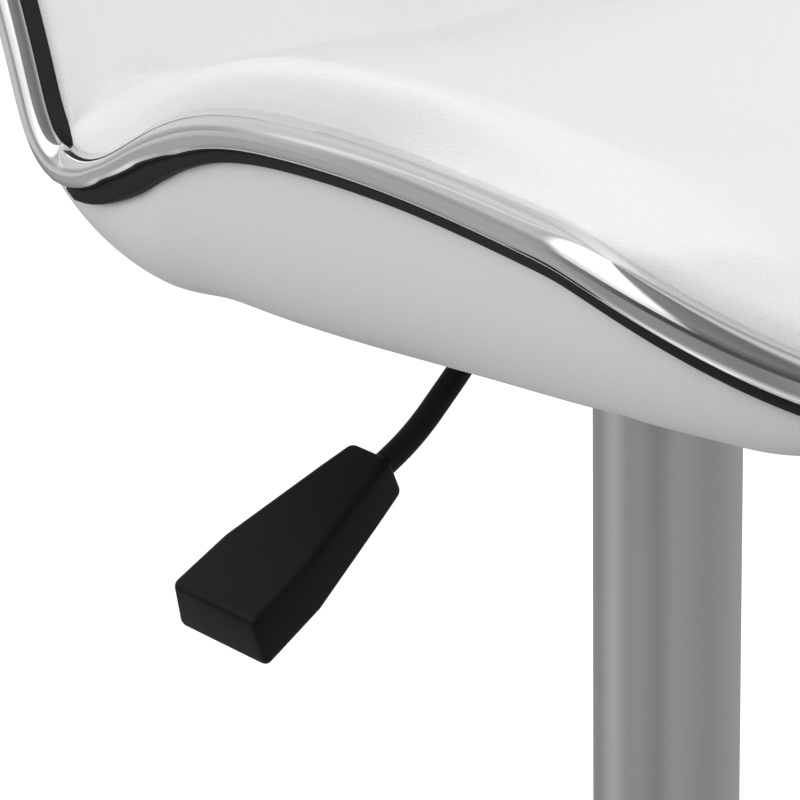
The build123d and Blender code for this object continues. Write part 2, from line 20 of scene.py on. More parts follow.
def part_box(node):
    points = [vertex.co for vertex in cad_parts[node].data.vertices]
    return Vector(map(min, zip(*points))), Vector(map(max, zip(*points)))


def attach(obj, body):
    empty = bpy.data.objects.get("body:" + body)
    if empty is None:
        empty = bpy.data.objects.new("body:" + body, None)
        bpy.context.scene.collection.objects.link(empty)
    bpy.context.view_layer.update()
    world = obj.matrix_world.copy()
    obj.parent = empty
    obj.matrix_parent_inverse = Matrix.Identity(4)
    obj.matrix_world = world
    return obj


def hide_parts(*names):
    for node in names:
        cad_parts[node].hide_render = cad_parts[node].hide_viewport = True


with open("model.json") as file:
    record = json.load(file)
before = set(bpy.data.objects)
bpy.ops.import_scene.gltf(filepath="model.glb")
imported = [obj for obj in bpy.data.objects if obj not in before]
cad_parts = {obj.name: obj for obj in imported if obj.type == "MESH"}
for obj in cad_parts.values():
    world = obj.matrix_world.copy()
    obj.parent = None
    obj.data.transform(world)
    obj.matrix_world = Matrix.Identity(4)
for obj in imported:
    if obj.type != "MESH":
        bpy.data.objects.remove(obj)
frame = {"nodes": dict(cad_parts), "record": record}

LOG = logging.getLogger("stool")
MM = 0.001
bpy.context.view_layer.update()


class Slot(Enum):
    """Material slots of the record."""

    CHROME = "chrome"
    SATIN_STEEL = "satin_steel"
    ZINC_STEEL = "zinc_steel"
    BLACK_STEEL = "black_steel"
    BALLAST_IRON = "ballast_iron"
    SEAT_LEATHER = "seat_leather"
    SHELL_LEATHER = "shell_leather"
    PLYWOOD = "plywood"
    BLACK_PIPING = "black_piping"
    FLOOR_RUBBER = "floor_rubber"
    BLACK_PLASTIC = "black_plastic"
    BUSH_PLASTIC = "bush_plastic"


class Body(Enum):
    """Bodies of the frame that pieces ride on."""

    BASE = "base"
    ROD = "rod"
    SEAT = "seat"
    LEVER = "lever"
    VALVE = "valve"


# Node helpers -------------------------------------------------------------------------------------
def add_node(tree: bpy.types.NodeTree, kind: str, **values: object) -> bpy.types.Node:
    """Add a node and set its fields and inputs.

    Args:
        tree: The node tree to add to.
        kind: The node's type name.
        values: Node attributes by name; a key that names an input sets that input.

    Returns:
        The new node.
    """
    node = tree.nodes.new(kind)
    for key, value in values.items():
        if hasattr(node, key):
            setattr(node, key, value)
        else:
            node.inputs[key.replace("_", " ")].default_value = value
    return node


def shader_group(name: str, inputs: dict[str, float], outputs: Sequence[str]) -> bpy.types.NodeTree:
    """Make an empty shader group with a vector input, float inputs and float outputs.

    Args:
        name: The group's name.
        inputs: Float inputs and their defaults.
        outputs: Names of the float outputs.

    Returns:
        The node group, with its input and output nodes in it.
    """
    tree = bpy.data.node_groups.new(name, "ShaderNodeTree")
    tree.interface.new_socket("Vector", in_out="INPUT", socket_type="NodeSocketVector")
    for key, value in inputs.items():
        socket = tree.interface.new_socket(key, in_out="INPUT", socket_type="NodeSocketFloat")
        socket.default_value = value
    for key in outputs:
        tree.interface.new_socket(key, in_out="OUTPUT", socket_type="NodeSocketFloat")
    tree.nodes.new("NodeGroupInput")
    tree.nodes.new("NodeGroupOutput")
    return tree


def group_ends(tree: bpy.types.NodeTree) -> tuple[bpy.types.Node, bpy.types.Node]:
    """The input and output nodes of a group."""
    return tree.nodes["Group Input"], tree.nodes["Group Output"]


def scaled_vector(
    tree: bpy.types.NodeTree, vector: bpy.types.NodeSocket, scale: Sequence[float]
) -> bpy.types.NodeSocket:
    """A vector multiplied by fixed factors on its three axes."""
    stretch = add_node(tree, "ShaderNodeVectorMath", operation="MULTIPLY")
    stretch.inputs[1].default_value = scale
    tree.links.new(vector, stretch.inputs[0])
    return stretch.outputs[0]


class Effects:
    """Shader groups that several finishes share, each built once."""

    _made: dict[str, bpy.types.NodeTree] = {}

    @classmethod
    def get(cls, name: str, build: Callable[[], bpy.types.NodeTree]) -> bpy.types.NodeTree:
        """The group of that name, built the first time it is asked for."""
        if name not in cls._made:
            cls._made[name] = build()
        return cls._made[name]

    @classmethod
    def leather_grain(cls) -> bpy.types.NodeTree:
        """Pebbled grain: rounded cells with fine creases between them, and a slow swell of the hide."""

        def build() -> bpy.types.NodeTree:
            tree = shader_group("leather_grain", {"Scale": 900.0, "Crease": 1.0}, ("Height", "Crease Mask"))
            start, end = group_ends(tree)
            warp = add_node(tree, "ShaderNodeTexNoise", Scale=220.0, Detail=2.0)
            tree.links.new(start.outputs["Vector"], warp.inputs["Vector"])
            bend = add_node(tree, "ShaderNodeVectorMath", operation="MULTIPLY_ADD")
            bend.inputs[1].default_value = (0.0016, 0.0016, 0.0016)
            tree.links.new(warp.outputs["Color"], bend.inputs[0])
            tree.links.new(start.outputs["Vector"], bend.inputs[2])
            cells = add_node(tree, "ShaderNodeTexVoronoi", feature="DISTANCE_TO_EDGE")
            tree.links.new(bend.outputs[0], cells.inputs["Vector"])
            tree.links.new(start.outputs["Scale"], cells.inputs["Scale"])
            dome = add_node(tree, "ShaderNodeMapRange", interpolation_type="SMOOTHSTEP")
            dome.inputs["From Max"].default_value = 0.22
            tree.links.new(cells.outputs["Distance"], dome.inputs["Value"])
            pores = add_node(tree, "ShaderNodeTexNoise", Scale=2600.0, Detail=3.0)
            tree.links.new(start.outputs["Vector"], pores.inputs["Vector"])
            mix = add_node(tree, "ShaderNodeMath", operation="MULTIPLY_ADD")
            mix.inputs[1].default_value = 0.25
            tree.links.new(pores.outputs[0], mix.inputs[0])
            tree.links.new(dome.outputs[0], mix.inputs[2])
            depth = add_node(tree, "ShaderNodeMath", operation="MULTIPLY")
            tree.links.new(mix.outputs[0], depth.inputs[0])
            tree.links.new(start.outputs["Crease"], depth.inputs[1])
            tree.links.new(depth.outputs[0], end.inputs["Height"])
            invert = add_node(tree, "ShaderNodeMath", operation="SUBTRACT")
            invert.inputs[0].default_value = 1.0
            tree.links.new(dome.outputs[0], invert.inputs[1])
            tree.links.new(invert.outputs[0], end.inputs["Crease Mask"])
            return tree

        return cls.get("leather_grain", build)

    @classmethod
    def handling_marks(cls) -> bpy.types.NodeTree:
        """Soft smudges and hair scratches on polished metal."""

        def build() -> bpy.types.NodeTree:
            knobs = {"Smudge Scale": 14.0, "Scratch Scale": 1.0}
            tree = shader_group("handling_marks", knobs, ("Smudge", "Scratch"))
            start, end = group_ends(tree)
            smudge = add_node(tree, "ShaderNodeTexNoise", Detail=5.0, Roughness=0.62)
            tree.links.new(start.outputs["Vector"], smudge.inputs["Vector"])
            tree.links.new(start.outputs["Smudge Scale"], smudge.inputs["Scale"])
            lift = add_node(tree, "ShaderNodeMapRange")
            lift.inputs["From Min"].default_value = 0.48
            lift.inputs["From Max"].default_value = 0.8
            tree.links.new(smudge.outputs[0], lift.inputs["Value"])
            tree.links.new(lift.outputs[0], end.inputs["Smudge"])
            long_vector = scaled_vector(tree, start.outputs["Vector"], (2600.0, 700.0, 60.0))
            scratch = add_node(tree, "ShaderNodeTexNoise", Detail=2.0)
            tree.links.new(long_vector, scratch.inputs["Vector"])
            tree.links.new(start.outputs["Scratch Scale"], scratch.inputs["Scale"])
            sharp = add_node(tree, "ShaderNodeMapRange")
            sharp.inputs["From Min"].default_value = 0.6
            sharp.inputs["From Max"].default_value = 0.75
            tree.links.new(scratch.outputs[0], sharp.inputs["Value"])
            tree.links.new(sharp.outputs[0], end.inputs["Scratch"])
            return tree

        return cls.get("handling_marks", build)

    @classmethod
    def fine_texture(cls) -> bpy.types.NodeTree:
        """Spark-eroded or powdery texture: fine grain with a slower mottling."""

        def build() -> bpy.types.NodeTree:
            tree = shader_group("fine_texture", {"Scale": 1800.0}, ("Height", "Mottle"))
            start, end = group_ends(tree)
            grain = add_node(tree, "ShaderNodeTexNoise", Detail=4.0, Roughness=0.7)
            tree.links.new(start.outputs["Vector"], grain.inputs["Vector"])
            tree.links.new(start.outputs["Scale"], grain.inputs["Scale"])
            tree.links.new(grain.outputs[0], end.inputs["Height"])
            mottle = add_node(tree, "ShaderNodeTexNoise", Scale=45.0, Detail=4.0)
            tree.links.new(start.outputs["Vector"], mottle.inputs["Vector"])
            tree.links.new(mottle.outputs[0], end.inputs["Mottle"])
            return tree

        return cls.get("fine_texture", build)

    @classmethod
    def dust(cls) -> bpy.types.NodeTree:
        """Dust that settles on faces that look up."""

        def build() -> bpy.types.NodeTree:
            tree = shader_group("dust", {"Amount": 0.3}, ("Mask",))
            start, end = group_ends(tree)
            shape = add_node(tree, "ShaderNodeNewGeometry")
            split = add_node(tree, "ShaderNodeSeparateXYZ")
            tree.links.new(shape.outputs["Normal"], split.inputs[0])
            speck = add_node(tree, "ShaderNodeTexNoise", Scale=160.0, Detail=6.0)
            tree.links.new(start.outputs["Vector"], speck.inputs["Vector"])
            up = add_node(tree, "ShaderNodeMath", operation="MULTIPLY", use_clamp=True)
            tree.links.new(split.outputs["Z"], up.inputs[0])
            tree.links.new(speck.outputs[0], up.inputs[1])
            amount = add_node(tree, "ShaderNodeMath", operation="MULTIPLY")
            tree.links.new(up.outputs[0], amount.inputs[0])
            tree.links.new(start.outputs["Amount"], amount.inputs[1])
            tree.links.new(amount.outputs[0], end.inputs["Mask"])
            return tree

        return cls.get("dust", build)


# Finishes -----------------------------------------------------------------------------------------
class MaterialBench:
    """A material being built: its Principled shader and its Object coordinates."""

    def __init__(self, name: str) -> None:
        """Start a material of that name."""
        self.material = bpy.data.materials.new(name)
        self.material.use_nodes = True
        self.tree = self.material.node_tree
        self.shader = self.tree.nodes["Principled BSDF"]
        self.coords = add_node(self.tree, "ShaderNodeTexCoord").outputs["Object"]

    def effect(self, group: bpy.types.NodeTree, **values: float) -> bpy.types.Node:
        """Place an effect group on the Object coordinates.

        Args:
            group: The effect's node group.
            values: The group's float inputs, with underscores for spaces.

        Returns:
            The group node.
        """
        node = self.tree.nodes.new("ShaderNodeGroup")
        node.node_tree = group
        self.tree.links.new(self.coords, node.inputs["Vector"])
        for key, value in values.items():
            node.inputs[key.replace("_", " ")].default_value = value
        return node

    def blend(
        self, mask: bpy.types.NodeSocket, low: Sequence[float], high: Sequence[float], target: str
    ) -> None:
        """Mix two colours by a mask into a colour input of the shader."""
        mix = add_node(self.tree, "ShaderNodeMix", data_type="RGBA")
        mix.inputs["A"].default_value = (*low, 1.0)
        mix.inputs["B"].default_value = (*high, 1.0)
        for socket in mix.inputs:
            if socket.name == "A" and socket.type == "RGBA":
                socket.default_value = (*low, 1.0)
            if socket.name == "B" and socket.type == "RGBA":
                socket.default_value = (*high, 1.0)
        self.tree.links.new(mask, mix.inputs["Factor"])
        colour = next(socket for socket in mix.outputs if socket.type == "RGBA")
        self.tree.links.new(colour, self.shader.inputs[target])

    def ramp(self, mask: bpy.types.NodeSocket, low: float, high: float, target: str) -> None:
        """Map a mask from 0 to 1 onto a value input of the shader."""
        node = add_node(self.tree, "ShaderNodeMapRange")
        node.inputs["To Min"].default_value = low
        node.inputs["To Max"].default_value = high
        self.tree.links.new(mask, node.inputs["Value"])
        self.tree.links.new(node.outputs[0], self.shader.inputs[target])

    def bump(self, heights: Iterable[tuple[bpy.types.NodeSocket, float, float]]) -> None:
        """Chain bumps into the shader's normal.

        Args:
            heights: For each bump its height socket, its strength and its distance in metres.
        """
        before = None
        for height, strength, distance in heights:
            node = add_node(self.tree, "ShaderNodeBump", Strength=strength, Distance=distance)
            self.tree.links.new(height, node.inputs["Height"])
            if before is not None:
                self.tree.links.new(before, node.inputs["Normal"])
            before = node.outputs[0]
        self.tree.links.new(before, self.shader.inputs["Normal"])


@dataclass(frozen=True)
class Leather:
    """White synthetic leather with a pebbled grain."""

    name: str
    colour: tuple[float, float, float]
    crease_colour: tuple[float, float, float]
    grain_scale: float = 950.0
    roughness: float = 0.46
    depth: float = 0.00013

    def build(self) -> bpy.types.Material:
        """Make the material."""
        bench = MaterialBench(self.name)
        grain = bench.effect(Effects.leather_grain(), Scale=self.grain_scale, Crease=1.0)
        texture = bench.effect(Effects.fine_texture(), Scale=320.0)
        bench.blend(grain.outputs["Crease Mask"], self.colour, self.crease_colour, "Base Color")
        bench.ramp(texture.outputs["Mottle"], self.roughness - 0.08, self.roughness + 0.1, "Roughness")
        bench.bump(
            (
                (texture.outputs["Height"], 0.12, 0.0002),
                (grain.outputs["Height"], 0.35, self.depth),
            )
        )
        bench.shader.inputs["Specular IOR Level"].default_value = 0.42
        bench.shader.inputs["Sheen Weight"].default_value = 0.08
        bench.shader.inputs["Subsurface Weight"].default_value = 0.0
        return bench.material


@dataclass(frozen=True)
class Chrome:
    """Polished chrome plate with faint handling marks."""

    name: str
    colour: tuple[float, float, float] = (0.83, 0.835, 0.84)
    roughness: float = 0.055
    marked: float = 0.16

    def build(self) -> bpy.types.Material:
        """Make the material."""
        bench = MaterialBench(self.name)
        marks = bench.effect(Effects.handling_marks(), Smudge_Scale=16.0)
        bench.shader.inputs["Metallic"].default_value = 1.0
        smudged = tuple(part * 0.95 for part in self.colour)
        bench.blend(marks.outputs["Smudge"], self.colour, smudged, "Base Color")
        bench.ramp(marks.outputs["Smudge"], self.roughness, self.marked, "Roughness")
        bench.bump(((marks.outputs["Scratch"], 0.05, 0.00002),))
        return bench.material


@dataclass(frozen=True)
class Steel:
    """Bare or zinc-plated steel with a fine drawn texture."""

    name: str
    colour: tuple[float, float, float]
    roughness: float = 0.3

    def build(self) -> bpy.types.Material:
        """Make the material."""
        bench = MaterialBench(self.name)
        marks = bench.effect(Effects.handling_marks(), Smudge_Scale=60.0)
        texture = bench.effect(Effects.fine_texture(), Scale=900.0)
        bench.shader.inputs["Metallic"].default_value = 1.0
        mottled = tuple(part * 0.8 for part in self.colour)
        bench.blend(texture.outputs["Mottle"], self.colour, mottled, "Base Color")
        bench.ramp(marks.outputs["Smudge"], self.roughness, self.roughness + 0.18, "Roughness")
        bench.bump(((texture.outputs["Height"], 0.12, 0.00005),))
        return bench.material


@dataclass(frozen=True)
class Coating:
    """Opaque black or dark finish: moulded plastic, powder coat, rubber or iron paint."""

    name: str
    colour: tuple[float, float, float]
    worn_colour: tuple[float, float, float]
    roughness: float
    texture_scale: float
    texture_depth: float
    dust: float = 0.25
    coat: float = 0.0

    def build(self) -> bpy.types.Material:
        """Make the material."""
        bench = MaterialBench(self.name)
        texture = bench.effect(Effects.fine_texture(), Scale=self.texture_scale)
        dust = bench.effect(Effects.dust(), Amount=self.dust)
        bench.blend(dust.outputs["Mask"], self.colour, self.worn_colour, "Base Color")
        bench.ramp(texture.outputs["Mottle"], self.roughness - 0.07, self.roughness + 0.09, "Roughness")
        bench.bump(((texture.outputs["Height"], 0.4, self.texture_depth),))
        bench.shader.inputs["Coat Weight"].default_value = self.coat
        bench.shader.inputs["Specular IOR Level"].default_value = 0.2
        return bench.material


@dataclass(frozen=True)
class Plywood:
    """Bare bent plywood: streaky face grain in a darker and a lighter brown."""

    name: str = "bare_plywood"

    def build(self) -> bpy.types.Material:
        """Make the material."""
        bench = MaterialBench(self.name)
        stretched = scaled_vector(bench.tree, bench.coords, (260.0, 18.0, 260.0))
        fibre = add_node(bench.tree, "ShaderNodeTexNoise", Scale=1.0, Detail=6.0)
        bench.tree.links.new(stretched, fibre.inputs["Vector"])
        bench.blend(fibre.outputs[0], (0.62, 0.43, 0.24), (0.83, 0.66, 0.44), "Base Color")
        bench.ramp(fibre.outputs[0], 0.5, 0.7, "Roughness")
        bench.bump(((fibre.outputs[0], 0.3, 0.0002),))
        return bench.material


FINISHES = {
    Slot.SEAT_LEATHER: Leather("white_seat_leather", (0.85, 0.85, 0.848), (0.82, 0.82, 0.818)),
    # Painted shade: the shell uses the seat's white leather painted darker, because its underside faces away from
    # the light.
    Slot.SHELL_LEATHER: Leather(
        "shell_leather_painted_shade", (0.75, 0.75, 0.747), (0.73, 0.73, 0.727), 820.0, 0.5, 0.00005
    ),
    Slot.CHROME: Chrome("polished_chrome"),
    Slot.SATIN_STEEL: Steel("ground_steel", (0.56, 0.57, 0.58), 0.22),
    Slot.ZINC_STEEL: Steel("zinc_plate", (0.66, 0.67, 0.68), 0.34),
    Slot.BLACK_STEEL: Coating(
        "black_powder_coat", (0.005, 0.005, 0.005), (0.012, 0.012, 0.012), 0.4, 1500.0, 0.00006
    ),
    Slot.BALLAST_IRON: Coating(
        "ballast_paint", (0.03, 0.03, 0.032), (0.09, 0.088, 0.085), 0.6, 700.0, 0.0002
    ),
    Slot.BLACK_PIPING: Coating(
        "matt_gasket", (0.02, 0.02, 0.02), (0.035, 0.035, 0.035), 0.6, 1200.0, 0.00005, 0.3
    ),
    Slot.FLOOR_RUBBER: Coating(
        "floor_rubber", (0.02, 0.02, 0.02), (0.08, 0.08, 0.078), 0.75, 900.0, 0.0001, 0.5
    ),
    Slot.BLACK_PLASTIC: Coating(
        "moulded_black", (0.003, 0.003, 0.003), (0.007, 0.007, 0.007), 0.42, 1900.0, 0.00004
    ),
    Slot.BUSH_PLASTIC: Coating(
        "natural_acetal", (0.78, 0.77, 0.72), (0.7, 0.68, 0.62), 0.45, 1300.0, 0.00003
    ),
    Slot.PLYWOOD: Plywood(),
}
_built: dict[Slot, bpy.types.Material] = {}


def finish(slot: Slot) -> bpy.types.Material:
    """The slot's material, built the first time it is asked for."""
    if slot not in _built:
        _built[slot] = FINISHES[slot].build()
    return _built[slot]


# Mesh helpers -------------------------------------------------------------------------------------
def mesh_object(
    name: str, points: np.ndarray, faces: Sequence[Sequence[int]], smooth: bool = True
) -> bpy.types.Object:
    """Make a mesh object from points in millimetres.

    Args:
        name: The object's name.
        points: An array of points.
        faces: Corner indices of each face.
        smooth: Whether its faces are shaded smooth.

    Returns:
        The new object, linked to the scene.
    """
    mesh = bpy.data.meshes.new(name)
    mesh.from_pydata((np.asarray(points) * MM).tolist(), [], [list(face) for face in faces])
    mesh.update()
    mesh.polygons.foreach_set("use_smooth", [smooth] * len(mesh.polygons))
    piece = bpy.data.objects.new(name, mesh)
    bpy.context.scene.collection.objects.link(piece)
    return piece


def face_outward(piece: bpy.types.Object) -> None:
    """Merge doubled points and turn every face outward."""
    work = bmesh.new()
    work.from_mesh(piece.data)
    bmesh.ops.remove_doubles(work, verts=work.verts, dist=1e-6)
    bmesh.ops.recalc_face_normals(work, faces=work.faces)
    work.to_mesh(piece.data)
    work.free()


def apply_modifiers(piece: bpy.types.Object) -> None:
    """Turn a piece's modifiers into its mesh."""
    shown = bpy.context.evaluated_depsgraph_get()
    mesh = bpy.data.meshes.new_from_object(piece.evaluated_get(shown))
    piece.modifiers.clear()
    old = piece.data
    piece.data = mesh
    bpy.data.meshes.remove(old)


def close_ends(piece: bpy.types.Object) -> None:
    """Put a face across each open end of a piece."""
    work = bmesh.new()
    work.from_mesh(piece.data)
    bmesh.ops.remove_doubles(work, verts=work.verts, dist=1e-7)
    bmesh.ops.holes_fill(work, edges=[edge for edge in work.edges if edge.is_boundary], sides=0)
    work.to_mesh(piece.data)
    work.free()


def shade_by_angle(piece: bpy.types.Object, degrees: float) -> None:
    """Shade a piece smooth, with a crease where its faces turn by more than an angle."""
    piece.data.polygons.foreach_set("use_smooth", [True] * len(piece.data.polygons))
    work = bmesh.new()
    work.from_mesh(piece.data)
    limit = math.radians(degrees)
    for edge in work.edges:
        edge.smooth = len(edge.link_faces) == 2 and edge.calc_face_angle(0.0) < limit
    work.to_mesh(piece.data)
    work.free()


def grid_faces(rings: int, count: int) -> list[tuple[int, int, int, int]]:
    """Faces between closed rings of points stored one after the other."""
    faces = []
    for ring in range(rings - 1):
        for index in range(count):
            after = (index + 1) % count
            low, high = ring * count, (ring + 1) * count
            faces.append((low + index, low + after, high + after, high + index))
    return faces


def dress(piece: bpy.types.Object, body: Body, slot: Slot, *nodes: str) -> bpy.types.Object:
    """Give a piece its slot's finish and its body, and hide the frame's nodes that it stands for.

    Args:
        piece: The finished piece.
        body: The body it rides on.
        slot: The record's material slot.
        nodes: The frame's nodes that it replaces.

    Returns:
        The same piece.
    """
    piece.data.materials.clear()
    piece.data.materials.append(finish(slot))
    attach(piece, body.value)
    if nodes:
        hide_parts(*nodes)
    LOG.info("%s rides on %s in %s", piece.name, body.value, slot.value)
    return piece


# The seat's surface -------------------------------------------------------------------------------
def spline_through(points: np.ndarray, count: int) -> np.ndarray:
    """Sample a natural cubic spline evenly in chord length.

    Args:
        points: The points it passes through.
        count: How many samples to return.

    Returns:
        The samples, from the first point to the last.
    """
    gaps = np.linalg.norm(np.diff(points, axis=0), axis=1)
    knots = np.concatenate([[0.0], np.cumsum(gaps)])
    size = len(points)
    system = np.eye(size)
    source = np.zeros_like(points)
    for row in range(1, size - 1):
        before, after = gaps[row - 1], gaps[row]
        system[row, row - 1 : row + 2] = before, 2.0 * (before + after), after
        ahead = (points[row + 1] - points[row]) / after
        behind = (points[row] - points[row - 1]) / before
        source[row] = 6.0 * (ahead - behind)
    bend = np.linalg.solve(system, source)
    at = np.linspace(0.0, knots[-1], count)
    cell = np.clip(np.searchsorted(knots, at, side="right") - 1, 0, size - 2)
    width = gaps[cell][:, None]
    left = (at - knots[cell])[:, None]
    right = width - left
    return (
        points[cell] * right / width
        + points[cell + 1] * left / width
        + bend[cell] * (right**3 / width - right * width) / 6.0
        + bend[cell + 1] * (left**3 / width - left * width) / 6.0
    )


def ring_smooth(values: np.ndarray, reach: float) -> np.ndarray:
    """Smooth a closed ring of rows with a bell-shaped weight of that reach, in rows."""
    span = int(reach * 3) + 1
    offsets = np.arange(-span, span + 1)
    weights = np.exp(-0.5 * (offsets / reach) ** 2)
    weights /= weights.sum()
    return sum(weight * np.roll(values, -offset, axis=0) for offset, weight in zip(offsets, weights))


@dataclass
class SeatWave:
    """The curved board that the seat is upholstered on, as a surface over two shares.

    station runs across the seat from -1 to 1, and along runs from the front edge to the top of the back.
    """

    seat_z: float
    half_width: float = 190.0
    corner_start: float = 0.53
    cross_power: float = 2.4
    corner_fall: float = 1.25
    rows: tuple = (
        ((-230.0, 85.2), (-141.0, 130.6)),
        ((-190.0, 92.0), (-95.0, 137.2)),
        ((-110.0, 94.0), (-40.0, 141.0)),
        ((0.0, 94.0), (20.0, 132.2)),
        ((85.0, 93.0), (60.0, 114.8)),
        ((138.0, 105.0), (74.0, 117.0)),
        ((166.0, 160.0), (87.5, 141.0)),
        ((188.0, 250.0), (108.0, 197.0)),
        ((205.0, 345.0), (130.0, 262.0)),
    )
    corner_y: tuple = (1.0, 0.5, 0.2, 0.0, 0.0, 0.0, 0.0, 0.0, 0.0)
    corner_z: tuple = (1.0, 0.5, 0.2, 0.0, 0.0, 0.0, 0.2, 0.5, 1.0)
    stations: int = 121
    samples: int = 401
    table: np.ndarray = field(init=False)

    def __post_init__(self) -> None:
        """Sample the surface once, closer together towards the side."""
        shares = np.sin(np.linspace(0.0, math.pi / 2, self.stations))
        self.table = np.array([spline_through(self.profile(share), self.samples) for share in shares])

    def profile(self, station: float) -> np.ndarray:
        """The rows' y, z points at a station."""
        part = max(0.0, (station - self.corner_start) / (1.0 - self.corner_start))
        turned = 1.0 - math.sqrt(max(0.0, 1.0 - part**2))
        across = station**self.cross_power
        centre = np.array([row[0] for row in self.rows])
        side = np.array([row[1] for row in self.rows])
        share = np.stack([self.corner_y, self.corner_z], axis=1)
        fall = 1.0 - (1.0 - turned) ** self.corner_fall
        falling = np.where(np.array(self.corner_z) > 0.4, fall, turned)
        turn = np.stack([np.full(len(share), turned), falling], axis=1)
        turn[-3:, 1] = turned
        return centre + (side - centre) * (share * turn + (1.0 - share) * across)

    def at(self, station: np.ndarray, along: np.ndarray) -> np.ndarray:
        """Points of the surface.

        Args:
            station: Shares across the seat, from -1 to 1.
            along: Shares from the front edge to the top, from 0 to 1.

        Returns:
            An array of x, y, z points.
        """
        across = np.arcsin(np.clip(np.abs(station), 0.0, 1.0)) / (math.pi / 2) * (self.stations - 1)
        down = np.clip(along, 0.0, 1.0) * (self.samples - 1)
        column = np.minimum(across.astype(int), self.stations - 2)
        row = np.minimum(down.astype(int), self.samples - 2)
        u = (across - column)[..., None]
        v = (down - row)[..., None]
        near = self.table[column, row] * (1 - v) + self.table[column, row + 1] * v
        far = self.table[column + 1, row] * (1 - v) + self.table[column + 1, row + 1] * v
        side_view = near * (1 - u) + far * u
        x = station * self.half_width
        return np.concatenate([x[..., None], side_view[..., :1], side_view[..., 1:] + self.seat_z], axis=-1)

    def side_normal(self, station: np.ndarray, along: np.ndarray) -> np.ndarray:
        """The unit normal in side view: up from the seat and forward from the back."""
        step = 0.012
        run = self.at(station, along + step) - self.at(station, np.maximum(along - step, 0.0))
        normal = np.stack([np.zeros_like(run[..., 0]), -run[..., 2], run[..., 1]], axis=-1)
        return normal / np.linalg.norm(normal, axis=-1, keepdims=True)


@dataclass
class Rim:
    """The seat's rim as a closed ring, evenly spaced, with the directions its trim is set out in."""

    wave: SeatWave
    spacing: float = 3.2
    station: np.ndarray = field(init=False)
    along: np.ndarray = field(init=False)
    point: np.ndarray = field(init=False)
    normal: np.ndarray = field(init=False)
    outward: np.ndarray = field(init=False)

    def __post_init__(self) -> None:
        """Walk round the rim and space its points evenly."""
        steps = np.linspace(0.0, 1.0, 700)
        eased = np.sin(steps * math.pi / 2)
        half = [
            np.stack([eased, np.zeros_like(steps)], axis=1),
            np.stack([np.ones_like(steps), steps], axis=1)[1:],
            np.stack([eased[::-1], np.ones_like(steps)], axis=1)[1:],
        ]
        right = np.concatenate(half)
        left = right[-2:0:-1] * np.array([-1.0, 1.0])
        share = np.concatenate([right, left])
        path = self.wave.at(share[:, 0], share[:, 1])
        closed = np.concatenate([path, path[:1]])
        walked = np.concatenate([[0.0], np.cumsum(np.linalg.norm(np.diff(closed, axis=0), axis=1))])
        count = int(walked[-1] / self.spacing) // 4 * 4
        at = np.arange(count) * walked[-1] / count
        shares = np.concatenate([share, share[:1]])
        self.station = np.interp(at, walked, shares[:, 0])
        self.along = np.interp(at, walked, shares[:, 1])
        even = np.stack([np.interp(at, walked, closed[:, axis]) for axis in range(3)], axis=1)
        self.point = ring_smooth(even, 1.4)
        normal = ring_smooth(self.wave.side_normal(self.station, self.along), 4.0)
        tangent = np.roll(self.point, -1, axis=0) - np.roll(self.point, 1, axis=0)
        tangent /= np.linalg.norm(tangent, axis=1, keepdims=True)
        outward = np.cross(tangent, normal)
        self.outward = outward / np.linalg.norm(outward, axis=1, keepdims=True)
        self.normal = np.cross(self.outward, tangent)

    def offset(self, out: np.ndarray | float, up: np.ndarray | float) -> np.ndarray:
        """The ring moved outward and up from the board."""
        sideways = self.outward * np.asarray(out)[..., None]
        return self.point + sideways + self.normal * np.asarray(up)[..., None]


def smoothstep(value: np.ndarray, low: float, high: float) -> np.ndarray:
    """A smooth rise from 0 at low to 1 at high."""
    share = np.clip((value - low) / (high - low), 0.0, 1.0)
    return share * share * (3.0 - 2.0 * share)


